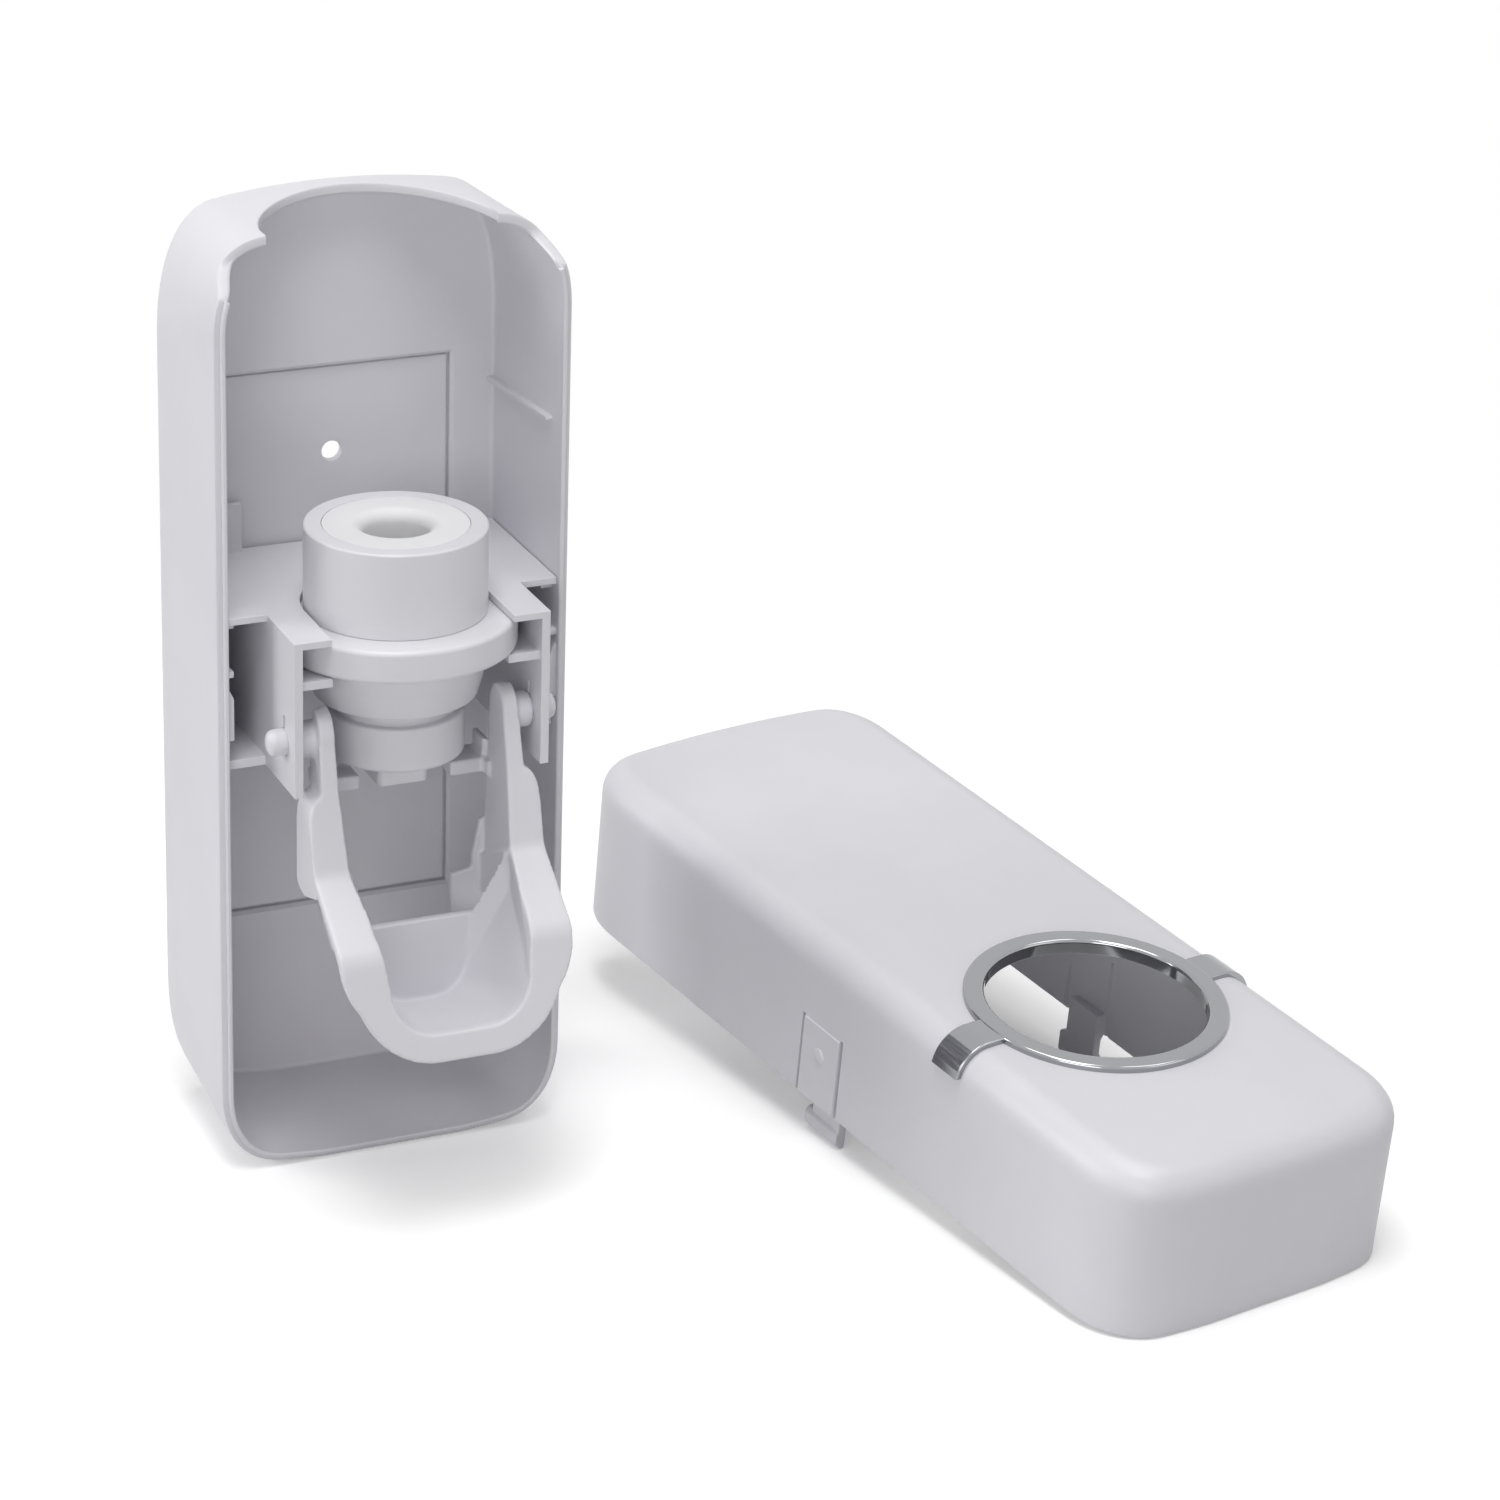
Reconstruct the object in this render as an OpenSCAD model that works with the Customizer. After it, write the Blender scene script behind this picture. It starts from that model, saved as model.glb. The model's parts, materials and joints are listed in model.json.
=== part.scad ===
// Push-in toothpaste dispenser with its front cover taken off.
// The rear half stands upright with the pump and lever in view, and the cover lies face up beside it.
// "Out" is a distance from the wall plane towards the user. "Half" is a distance to each side of the middle.

/* [Case] */
// Width of both halves of the case
body_w = 62; // [60:0.5:72]
// Height of both halves of the case
body_h = 166.6; // [160:0.2:190]
// Depth of the rear half, from the wall plane to its rim
housing_d = 33; // [30:0.5:36]
// Depth of the front cover, from its rim to its face
cover_d = 31; // [29:0.5:36]
// Thickness of the moulded side walls
wall = 1.8; // [1.6:0.1:2.2]
// Thickness of the rear half's back wall
back_wall = 2.4; // [2.2:0.1:3]
// Rise of the bowed top and bottom ends, at the rim
end_crown = 2.5; // [1.5:0.1:4]
// Width of the four corners' curve, seen from the front
corner_w = 11; // [9:0.5:14]
// Height of that curve at the rim
corner_h = 14; // [10:0.5:18]
// Extra height of that curve at the back and the face, where the corners draw in
corner_draw = 8; // [4:0.5:10]
// Radius of the edge around the back
back_edge_r = 3; // [1:0.25:3.5]
// Radius of the edge around the cover's face
face_edge_r = 5.5; // [3:0.25:6]
// Depth of the flat that is cut into the bowed base, to stand on
foot_cut = 0.4; // [0.2:0.1:0.8]
// Height of the inner lip around the rear half's rim
lip_h = 1; // [0.6:0.1:1.5]
// Thickness of that lip
lip_t = 0.8; // [0.6:0.1:1]
// Gap between the two halves when they are fitted
joint_gap = 0.15; // [0.1:0.05:0.3]

/* [Top opening for the tube] */
// Radius of the round opening in the top
tube_open_r = 20; // [18:0.5:22]
// Distance of that opening's centre from the wall plane
tube_open_out = 26.5; // [25:0.5:29]
// How far the rim steps back at the top
top_setback = 6; // [4:0.5:7]
// Height below the top at which the rim starts to step back
setback_drop = 9.5; // [8:0.5:12]
// Height over which the rim steps back
setback_run = 5; // [3:0.5:6]
// Distance of the cover's opening centre from the wall plane
cover_open_out = 36; // [34:0.5:40]

/* [Wall plate] */
// Width of the window in the back wall
window_w = 42.6; // [38:0.2:46]
// Height of that window
window_h = 99.6; // [80:0.2:104]
// Height of the window's lower edge above the base
window_z = 34; // [30:0.5:44]
// Gap around the plate in its window
plate_gap = 0.4; // [0.2:0.05:0.6]
// How far the plate lies behind the back wall's inner face
plate_recess = 0.8; // [0.5:0.1:1]
// Width of the plate's rear flange beyond the window
plate_flange = 2.6; // [1.5:0.1:3]
// Thickness of that flange
plate_flange_t = 0.9; // [0.7:0.1:1]
// Radius of the screw hole in the plate
screw_hole_r = 1.75; // [1.5:0.05:2.25]
// Distance of the screw hole below the window's upper edge
screw_drop = 15.6; // [14:0.1:18]
// Width of each adhesive pad
pad_w = 38; // [30:0.5:38]
// Thickness of each adhesive pad
pad_t = 1; // [0.5:0.1:1.5]
// Distance of the lower pad above the window's lower edge
pad_inset = 5; // [2:0.5:8]
// Gap between the two pads
pad_gap = 18; // [10:0.5:24]
// Distance of the upper pad below the screw hole
pad_screw_gap = 7; // [4:0.5:10]

/* [Pump carrier] */
// Height of the carrier's top face above the base
shelf_z = 102.6; // [101:0.2:110]
// Thickness of the top shelf
shelf_t = 1.2; // [1:0.1:1.4]
// Distance of the two front arms' ends from the wall plane
arm_end_out = 47; // [46:0.5:50]
// Thickness of the two hanging side plates
side_plate_t = 1.5; // [1.2:0.1:1.8]
// Height of the side plates below the top shelf's top face
side_plate_h = 27.4; // [26:0.2:28]
// Thickness of the pump's two ledges
ledge_t = 1.5; // [1:0.1:1.6]
// Gap above and below the pump's flange in its slot
slot_gap = 0.15; // [0.1:0.05:0.3]
// Thickness of the lower side shelves
low_shelf_t = 1.6; // [1.2:0.1:2]
// Height of the locating tab on the shelf
tab_h = 8.6; // [5:0.2:12]
// Gap between the carrier and the housing's walls
carrier_gap = 0.15; // [0.1:0.05:0.3]

/* [Pump] */
// Distance of the pump's axis from the wall plane
pump_out = 33.5; // [32:0.5:35]
// Radius of the pump's upper cap
cap_r = 15.4; // [14:0.1:15.8]
// Height of the cap above the flange
cap_h = 15; // [13:0.5:18]
// Radius of the flange that slides into the carrier
flange_r = 20.4; // [19.6:0.1:20.6]
// Thickness of that flange
flange_t = 5.8; // [5:0.1:6]
// Radius of the barrel just under the flange
barrel_r = 14.9; // [14.2:0.1:15]
// Radius of the barrel at its lower end
barrel_end_r = 13.7; // [13.2:0.1:14]
// Length of the barrel below the flange
barrel_h = 8.9; // [8:0.1:9.4]
// Radius of the barrel's bore
barrel_bore = 12; // [11.8:0.1:12.4]
// Radius of the soft seat that the tube's neck is pushed into
seat_r = 12.4; // [11:0.1:13]
// Radius of the hole in the soft seat
seat_hole_r = 5.6; // [5:0.1:6.5]
// Depth of that hole
seat_hole_h = 8; // [6:0.5:9]
// Height of the moving cup
cup_h = 8; // [7.4:0.1:8.6]
// Gap between the cup's top and the barrel's end at rest
cup_drop = 2.6; // [2.2:0.1:3]
// Radial gap between the cup and the barrel's bore
cup_gap = 0.3; // [0.2:0.05:0.5]
// Radius of the outlet nozzle
nozzle_r = 6.3; // [5:0.1:6.5]
// Length of the nozzle below the cup
nozzle_h = 4.5; // [3:0.1:6]
// Radius of the outlet
outlet_r = 2.2; // [1.5:0.1:3]
// Radial running gap of the piston in the bore
piston_gap = 0.06; // [0.03:0.01:0.1]
// Wire diameter of the return spring
wire_d = 0.9; // [0.6:0.05:1]
// Number of turns of the return spring
spring_turns = 6; // [4:1:7]

/* [Lever] */
// Distance of the lever's pivot from the wall plane
pivot_out = 41.5; // [40.5:0.5:42]
// Height of the pivot above the base
pivot_z = 83.3; // [83:0.1:83.8]
// Radius of the pivot stubs
stub_r = 2.3; // [2:0.1:2.8]
// Radial running gap of the stubs in the side plates
stub_gap = 0.06; // [0.03:0.01:0.1]
// Thickness of the lever's walls
lever_t = 1.6; // [1.3:0.1:1.8]
// Thickness of the flange around the lever's front
lever_flange_t = 1.8; // [1.4:0.1:2.2]
// Distance of the lever's front lip from the wall plane
lip_out = 64.8; // [63:0.2:66]
// Height of the lever's lowest edge above the base
lever_foot_z = 34; // [32:0.5:35]
// Half width of the lever's widest part
lever_half = 20.4; // [19.4:0.1:20.6]
// Distance of the push plate from the wall plane
push_out = 46.5; // [45:0.5:48]
// Height of the push plate's top edge above the base
push_top_z = 49.4; // [47:0.2:51]

/* [Cover] */
// Where the cover is: on the floor beside the rear half, or fitted to it
cover_place = "beside"; // [beside, fitted]
// Distance of the lying cover's lower end to the right of the rear half's middle
cover_x = 115.7; // [112:0.5:130]
// Distance of that end in front of the rear half's middle
cover_front = 119.4; // [110:0.5:140]
// Turn of the lying cover, in degrees
cover_turn = 10.8; // [0:0.1:12]
// Radius of the trim ring's opening
ring_in_r = 19.2; // [18:0.1:20]
// Outer radius of the trim ring
ring_out_r = 22.8; // [22:0.1:24]
// Thickness of the trim ring on the face
ring_t = 1.2; // [0.8:0.1:1.6]
// Height of the ring's centre above the base, fitted
ring_z = 50.8; // [48:0.2:54]
// Width of the ring's two ears
ear_w = 7; // [5:0.2:8]
// Thickness of the ears
ear_t = 1; // [0.8:0.1:1.2]
// Depth of the ears down the cover's sides
ear_drop = 4.6; // [3.5:0.1:6]
// Width of the two snap tongues
tongue_w = 10.4; // [8:0.2:12]
// Height of the tongues' middle above the base, fitted
tongue_z = 85.2; // [84.8:0.2:88]
// Length of the slits beside each tongue
slit_h = 16; // [12:0.5:20]
// Width of those slits
slit_w = 0.8; // [0.5:0.1:1]
// Length of the hooks beyond the cover's rim
hook_h = 7; // [6:0.1:7.5]

/* [Hidden] */
$fn = 72;
// Overrun of cuts
over = 1;
// Thickness of the thin slices that shape a rounded edge
skin = 0.02;
// Places in the case
back_y = housing_d / 2;
rim_y = -housing_d / 2;
pump_y = back_y - pump_out;
pivot_y = back_y - pivot_out;
face_out = housing_d + cover_d;
inner_half = body_w / 2 - wall;
// The front outline: two bowed ends, four round corners
corner_steps = 8;
crown_steps = 6;
edge_steps = 4;
corner_n = 2.4;
crown_draw = 1.2;
corner_x = body_w / 2 - corner_w;
// The wall plate's screw hole and pads
screw_hole_z = window_z + window_h - screw_drop;
pad_low_z = window_z + pad_inset;
pad_h = (screw_hole_z - pad_screw_gap - pad_gap - pad_low_z) / 2;
// The rim's step back at the top
setback_z = body_h - setback_drop;
setback_end_z = setback_z + setback_run;
setback_out = housing_d - top_setback;
// Heights of the carrier and pump, from the shelf down
flange_top = shelf_z - shelf_t - slot_gap;
flange_low = flange_top - flange_t;
ledge_top = flange_low - slot_gap;
barrel_low = flange_low - barrel_h;
cap_top = flange_top + cap_h;
cup_top = barrel_low - cup_drop;
cup_low = cup_top - cup_h;
nozzle_low = cup_low - nozzle_h;
plate_low_z = shelf_z - side_plate_h;
// Half widths of the carrier and lever
flange_side_gap = 0.5;
plate_half = flange_r + flange_side_gap;
plate_out_half = plate_half + side_plate_t;
notch_gap = 0.5;
notch_half = cap_r + notch_gap;
ledge_half = barrel_r + flange_side_gap;
arm_gap = 1.1;
arm_half = barrel_end_r + arm_gap;
// The carrier's small features
rail_w = 2;
rail_h = 1.6;
tab_w = 4;
tab_t = 1.4;
tab_half = 17;
pin_slit_w = 0.9;
pin_slit_h = 2.4;
ledge_front_gap = 1;
ledge_l = 26;
low_shelf_front_gap = 1.2;
// The housing's small features
rib_t = 1;
rib_w = 1.2;
rib_over_shelf = 25;
rib_front_gap = 2.5;
catch_w = 1.2;
catch_t = 3.9;
catch_in = 0.2;
catch_drop = 4.5;
catch_rise = 3;
catch_taper = 2.4;
nub_rise = 6.8;
nub_h = 1.2;
nub_t = 2;
catch_room = 0.35;
// The pump's inner sizes
soft_edge = 0.8;
cap_web_low = 4.2;
cap_web_h = 1.2;
channel_r = 3.6;
spigot_r = 10;
spigot_gap = 0.05;
gasket_t = 0.7;
body_web_h = 3.8;
port_r = 1.1;
port_count = 4;
port_ring_r = 2.7;
valve_r = 4.8;
valve_t = 0.7;
valve_stem_r = 0.9;
valve_bead_r = 1.3;
valve_bead_h = 0.8;
head_gap = 4.6;
head_h = 5.8;
neck_r = 10.3;
spring_r = 7.8;
spring_floor_h = 0.5;
pocket_gap = 0.9;
seal_w = 2;
seal_depth = 1;
seal_play = 0.04;
cup_wall = 1.7;
cup_floor = 1.5;
spigot_in_cup = 3.6;
disc_t = 1;
disc_r = 4.2;
disc_slit_r = 0.8;
nozzle_neck_r = 4.4;
mouth_h = 1.4;
// The lever's front surface, seen from the side: reaches out from the pivot and drops below it
hub_r = 5.3;
hub_reach = 4.1;
knee_reach = 6;
knee_drop = 8.3;
bend_reach = 9.3;
bend_drop = 21.1;
knee_out = pivot_out + knee_reach;
knee_z = pivot_z - knee_drop;
bend_out = pivot_out + bend_reach;
bend_z = pivot_z - bend_drop;
// Its lip and curled foot: reaches beyond the lip and heights above the foot
lip_back = 2.1;
lip_top_h = 19.6;
lip_turn_h = 15.5;
curl_start = 0.4;
curl_start_h = 12.5;
curl_mid = 2.4;
curl_mid_h = 8;
curl_end = 4.2;
curl_end_h = 4.5;
curl_edge = 0.9;
lip_top_z = lever_foot_z + lip_top_h;
lip_turn_z = lever_foot_z + lip_turn_h;
curl_z = lever_foot_z + curl_start_h;
// The lever's arms and pivot
arm_back_reach = 3.1;
arm_low_drop = 7;
arm_back_out = pivot_out - arm_back_reach;
arm_low_z = bend_z - arm_low_drop;
boss_r = 3.1;
boss_gap = 0.35;
boss_end_half = plate_half - boss_gap;
stub_end_half = 25.5;
stub_dome = 1.1;
// The lever's outer outline, seen from the front: bands beside the arms, wings and foot
band_top_w = 2.7;
band_w = 3.2;
wing_run = 5;
wing_r = 14;
wing_turn = 35;
wing_low_h = 17.8;
foot_half = 18.3;
foot_r = 14;
foot_turn = 17;
// The lever's inner outline and its push plate
u_bottom_r = 11;
u_low_half = 12.3;
u_floor_h = 3.9;
u_floor_z = lever_foot_z + u_floor_h;
bend_half = 14.2;
push_half = 8.2;
push_low_h = 0.6;
push_low_z = lever_foot_z + push_low_h;
push_r = 6;
strip_half = 10;
strip_drop = 16.3;
strip_top_z = pivot_z - strip_drop;
// The steps that lift the cup
lift_side_gap = 1.8;
lift_back = 1.5;
lift_l = 6.5;
lift_t = 2.7;
lift_rib_w = 3.4;
lift_rib_t = 1.2;
lift_rib_in = 0.6;
lift_rib_h = 1.75;
lift_play = 0.3;
riser_t = 0.8;
riser_l = 5;
riser_in = 1;
riser_h = 3.3;
lift_root_l = 3;
lift_half = nozzle_r + lift_side_gap;
lift_back_out = pump_out - lift_back;
lift_top_z = cup_low - lift_play - lift_rib_h;
// The cover's small features
hook_neck_t = 1.2;
hook_barb = 1.2;
hook_inset = 0.2;
hook_root = 5;
hook_barb_h = 2.8;
hook_nose = 1.4;
ring_edge_r = 0.5;
collar_t = 0.7;
collar_h = 1.5;
collar_gap = 0.1;
trim_gap = 0.04;
cover_tilt = atan2(hook_h, tongue_z - tongue_w / 2);

function arc_pts(cx, cz, r, from, to, steps) =
    [for (i = [0 : steps]) let (a = from + (to - from) * i / steps) [cx + r * cos(a), cz + r * sin(a)]];

// The right half of an outline as a closed one, by mirroring it
function mirrored(pts) = concat(pts, [for (i = [len(pts) - 1 : -1 : 0]) [-pts[i][0], pts[i][1]]]);

// The case's front outline: bowed ends, and corners that draw in more from the rim (0) to an end (1).
// No point lies on the middle line, where the points of several outlines would be in one row.
function outline_pts(inset, draw) =
    let (crown = end_crown + crown_draw * draw, high = corner_h + corner_draw * draw - inset)
    let (quarter = concat(
        [for (i = [1 : 2 : 2 * crown_steps - 1]) [corner_x * i / (2 * crown_steps), 0]],
        [for (i = [corner_steps : -1 : 0]) let (a = 90 * i / corner_steps)
            [corner_x + (corner_w - inset) * pow(cos(a), 2 / corner_n),
                high * (1 - pow(sin(a), 2 / corner_n))]]))
    let (drops = [for (p = quarter) [p[0], p[1] + crown * pow(2 * p[0] / body_w, 2) + inset]])
    mirrored(concat(
        [for (p = drops) [p[0], body_h - p[1]]],
        [for (i = [len(drops) - 1 : -1 : 0]) [drops[i][0], max(drops[i][1] - foot_cut, inset)]]));

// A U outline: its right side's upper points, and a round corner at the bottom
function u_pts(upper, low_half, floor_z, r) =
    mirrored(concat(upper, arc_pts(low_half - r, floor_z + r, r, 0, -90, corner_steps)));

// A shape drawn from the front, pushed from one distance out to another
module front_shape(from_out, to_out) {
    translate([0, back_y - from_out, 0]) rotate([90, 0, 0]) linear_extrude(to_out - from_out) children();
}

// A shape drawn from the side as [out, height] points, centred across the case
module side_shape(width, pts) {
    translate([-width / 2, back_y, 0]) rotate([90, 0, 90]) linear_extrude(width)
        polygon([for (p = pts) [-p[0], p[1]]]);
}

// A block given by its half-width range on the right, its out range and its height range
module block(x0, x1, out0, out1, z0, z1) {
    translate([x0, back_y - out1, z0]) cube([x1 - x0, out1 - out0, z1 - z0]);
}

module both_sides() {
    children();
    mirror([1, 0, 0]) children();
}

module slab(inset, from_out, to_out, draw = 0) {
    front_shape(from_out, to_out) polygon(outline_pts(inset, draw));
}

// The case's outer or inner form, open at one end and round-edged at the closed end
module rounded_case(inset, open_out, closed_out, edge_r, draw = 0) {
    side = closed_out > open_out ? 1 : -1;
    straight = closed_out - side * edge_r;
    band_out = draw > 0 ? setback_out : straight;
    hull() {
        slab(inset, min(open_out, band_out), max(open_out, band_out));
        for (i = [draw > 0 ? 0 : 1 : edge_steps]) {
            a = 90 * i / edge_steps;
            at = straight + side * edge_r * sin(a);
            slab(inset + edge_r * (1 - cos(a)), min(at, at - side * skin), max(at, at - side * skin), draw);
        }
    }
}

function setback_pts(gap) = [for (i = [0 : edge_steps * 2])
    let (t = i / (edge_steps * 2))
    [housing_d + gap - top_setback * (1 - cos(180 * t)) / 2, setback_z + setback_run * t]];

// Everything in front of the rear half's rim, at the top only
module above_rim(gap) {
    front = face_out + over;
    side_shape(body_w + 2 * over, concat(setback_pts(gap),
        [[setback_out + gap, body_h + over], [front, body_h + over], [front, setback_z]]));
}

// Everything behind the rim
module behind_rim(gap) {
    side_shape(body_w + 2 * over, concat([[housing_d + gap, -over]], setback_pts(gap),
        [[setback_out + gap, body_h + over], [-over, body_h + over], [-over, -over]]));
}

module tube_opening(centre_out, open_out) {
    z0 = body_h - corner_h;
    h = corner_h + over;
    translate([0, back_y - centre_out, z0]) cylinder(r = tube_open_r, h = h);
    block(-tube_open_r, tube_open_r, min(centre_out, open_out), max(centre_out, open_out), z0, z0 + h);
}

module rear_housing() color("white") {
    window_half = window_w / 2;
    difference() {
        union() {
            difference() {
                rounded_case(0, housing_d, 0, back_edge_r, 1);
                hull() {
                    slab(wall, setback_out, housing_d + over);
                    slab(wall, back_wall, back_wall + skin, 1);
                }
                block(-window_half, window_half, -over, back_wall + over, window_z, window_z + window_h);
                block(-window_half - plate_flange - plate_gap, window_half + plate_flange + plate_gap,
                    -over, plate_flange_t, window_z - plate_flange - plate_gap,
                    window_z + window_h + plate_flange + plate_gap);
            }
            difference() {
                slab(wall - lip_t, housing_d - over, housing_d + lip_h);
                slab(wall, housing_d - 2 * over, housing_d + lip_h + over);
            }
            both_sides() housing_features();
        }
        above_rim(0);
        tube_opening(tube_open_out, housing_d);
    }
}

// Moulded inside each side wall: a rail under the carrier's shelf, a long rib above it
// and a catch for the cover's hook
module housing_features() {
    shelf_low = shelf_z - shelf_t;
    rib_z = shelf_z + rib_over_shelf;
    root = inner_half + wall / 2;
    block(inner_half - rail_w, root, back_wall - skin, housing_d - rib_front_gap,
        shelf_low - rail_h, shelf_low);
    block(inner_half - rib_w, root, back_wall - skin, housing_d - rib_front_gap, rib_z, rib_z + rib_t);
    hull() {
        block(inner_half - catch_w, root, housing_d - catch_in - catch_t, housing_d - catch_in,
            tongue_z - catch_drop, tongue_z + catch_rise);
        block(inner_half, root, housing_d - catch_in - catch_t, housing_d - catch_in,
            tongue_z - catch_drop, tongue_z + catch_rise + catch_taper);
    }
    block(inner_half - catch_w, root, housing_d - catch_in - nub_t, housing_d - catch_in,
        tongue_z + nub_rise, tongue_z + nub_rise + nub_h);
}

module wall_plate() color("gainsboro") difference() {
    half = window_w / 2 - plate_gap;
    flange_half = window_w / 2 + plate_flange;
    union() {
        block(-half, half, 0, back_wall - plate_recess,
            window_z + plate_gap, window_z + window_h - plate_gap);
        block(-flange_half, flange_half, 0, plate_flange_t,
            window_z - plate_flange, window_z + window_h + plate_flange);
    }
    translate([0, back_y + over, screw_hole_z]) rotate([90, 0, 0])
        cylinder(r = screw_hole_r, h = back_wall + 2 * over);
}

module wall_pads() color("lightgrey")
    for (i = [0, 1]) {
        z = pad_low_z + i * (pad_h + pad_gap);
        block(-pad_w / 2, pad_w / 2, -pad_t, 0, z, z + pad_h);
    }

module pump_carrier() color("whitesmoke") difference() {
    edge_half = inner_half - carrier_gap;
    back = back_wall + carrier_gap;
    shelf_low = shelf_z - shelf_t;
    union() {
        translate([0, 0, shelf_low]) linear_extrude(shelf_t) difference() {
            union() {
                translate([-edge_half, rim_y]) square([2 * edge_half, housing_d - back]);
                translate([-plate_out_half, back_y - arm_end_out])
                    square([2 * plate_out_half, arm_end_out - back]);
            }
            translate([0, pump_y]) circle(r = notch_half);
            translate([-notch_half, back_y - arm_end_out - over])
                square([2 * notch_half, arm_end_out + over - pump_out]);
        }
        both_sides() {
            block(plate_half, plate_out_half, back, arm_end_out, plate_low_z, shelf_low + skin);
            block(ledge_half, plate_half + skin, arm_end_out - ledge_front_gap - ledge_l,
                arm_end_out - ledge_front_gap, ledge_top - ledge_t, ledge_top);
            block(plate_out_half - skin, edge_half, back, housing_d - low_shelf_front_gap,
                plate_low_z, plate_low_z + low_shelf_t);
        }
        block(-tab_half - tab_w, -tab_half, back, back + tab_t, shelf_z - skin, shelf_z + tab_h);
    }
    translate([0, pivot_y, pivot_z]) rotate([0, 90, 0])
        cylinder(r = stub_r + stub_gap, h = body_w, center = true);
    both_sides() block(plate_half - skin, plate_out_half + skin, pivot_out - pin_slit_w / 2,
        pivot_out + pin_slit_w / 2, pivot_z, pivot_z + stub_r + pin_slit_h);
}

// A piece turned about the pump's axis from [radius, height] points
module turned(pts) {
    translate([0, pump_y, 0]) rotate_extrude() polygon(pts);
}

module pump_cap() color("white") {
    web_low = flange_top + cap_web_low;
    web_top = web_low + cap_web_h;
    turned(concat(
        [[spigot_r + spigot_gap, flange_top], [cap_r, flange_top]],
        arc_pts(cap_r - soft_edge, cap_top - soft_edge, soft_edge, 0, 90, corner_steps),
        [[seat_r, cap_top], [seat_r, web_top], [channel_r, web_top], [channel_r, web_low],
            [spigot_r + spigot_gap, web_low]]));
}

module tube_seat() color("ghostwhite") {
    low = flange_top + cap_web_low + cap_web_h;
    rim_r = seat_r - piston_gap;
    turned([[channel_r, low], [rim_r, low], [rim_r, cap_top], [seat_hole_r + soft_edge, cap_top],
        [seat_hole_r, cap_top - soft_edge], [seat_hole_r, cap_top - seat_hole_h],
        [channel_r, cap_top - seat_hole_h - seat_hole_r + channel_r]]);
}

module cap_gasket() color("lightsteelblue") {
    top = flange_top + cap_web_low;
    turned([[channel_r, top - gasket_t], [spigot_r - soft_edge, top - gasket_t], [spigot_r - soft_edge, top],
        [channel_r, top]]);
}

module pump_body() color("white") difference() {
    spigot_top = flange_top + cap_web_low - gasket_t;
    web_low = flange_top - body_web_h;
    turned(concat(
        [[0, web_low], [barrel_bore, web_low], [barrel_bore, barrel_low], [barrel_end_r, barrel_low],
            [barrel_end_r, barrel_low + barrel_h / 3], [barrel_r, barrel_low + barrel_h / 2],
            [barrel_r, flange_low]],
        arc_pts(flange_r - soft_edge, flange_low + soft_edge, soft_edge, -90, 0, corner_steps),
        arc_pts(flange_r - soft_edge, flange_top - soft_edge, soft_edge, 0, 90, corner_steps),
        [[spigot_r, flange_top], [spigot_r, spigot_top], [channel_r, spigot_top],
            [channel_r, flange_top - valve_bead_h], [0, flange_top - valve_bead_h]]));
    translate([0, pump_y, web_low - over])
        cylinder(r = valve_stem_r + spigot_gap, h = body_web_h + 2 * over);
    for (i = [0 : port_count - 1]) translate([0, pump_y, 0]) rotate(360 * i / port_count)
        translate([port_ring_r, 0, web_low - over]) cylinder(r = port_r, h = body_web_h + 2 * over, $fn = 24);
}

module inlet_valve() color("lightsteelblue") {
    web_low = flange_top - body_web_h;
    bead_low = flange_top - valve_bead_h;
    turned([[0, web_low - valve_t], [valve_r, web_low - valve_t / 2], [valve_r, web_low],
        [valve_stem_r, web_low], [valve_stem_r, bead_low], [valve_bead_r, bead_low],
        [valve_stem_r, bead_low + valve_bead_h], [0, bead_low + valve_bead_h]]);
}

// Heights inside the pump: the piston's head and the spring between it and the pump's web
head_top = flange_top - body_web_h - head_gap;
head_low = head_top - head_h;
spring_low = head_low + spring_floor_h;
spring_top = flange_top - body_web_h;
cup_in_r = barrel_bore - cup_gap - cup_wall;

module piston() color("aliceblue") {
    head_r = barrel_bore - piston_gap;
    groove_r = head_r - seal_depth;
    seal_z = head_top - 2 * seal_w;
    pocket_in = spring_r - wire_d / 2 - pocket_gap;
    pocket_out = spring_r + wire_d / 2 + pocket_gap;
    foot_z = cup_top - spigot_in_cup;
    turned([[outlet_r, foot_z], [cup_in_r - spigot_gap, foot_z], [cup_in_r - spigot_gap, cup_top],
        [neck_r, cup_top], [neck_r, head_low], [head_r, head_low], [head_r, seal_z], [groove_r, seal_z],
        [groove_r, seal_z + seal_w], [head_r, seal_z + seal_w], [head_r, head_top], [pocket_out, head_top],
        [pocket_out, spring_low], [pocket_in, spring_low], [pocket_in, head_top], [outlet_r, head_top]]);
}

module piston_seal() color("dimgray") {
    head_r = barrel_bore - piston_gap;
    seal_z = head_top - 2 * seal_w;
    in_r = head_r - seal_depth;
    out_r = barrel_bore - seal_play;
    z0 = seal_z + seal_play;
    z1 = seal_z + seal_w - seal_play;
    turned([[in_r + seal_play, z0], [out_r - soft_edge / 2, z0], [out_r, (z0 + z1) / 2],
        [out_r - soft_edge / 2, z1], [in_r + seal_play, z1]]);
}

// The return spring: one unbroken wound tube, with its least gap worked out from its pitch
spring_rings = 8;
spring_sides = 6;
spring_pitch = (spring_top - spring_low - wire_d) / spring_turns;
echo(spring_least_gap = spring_pitch - wire_d);

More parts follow.
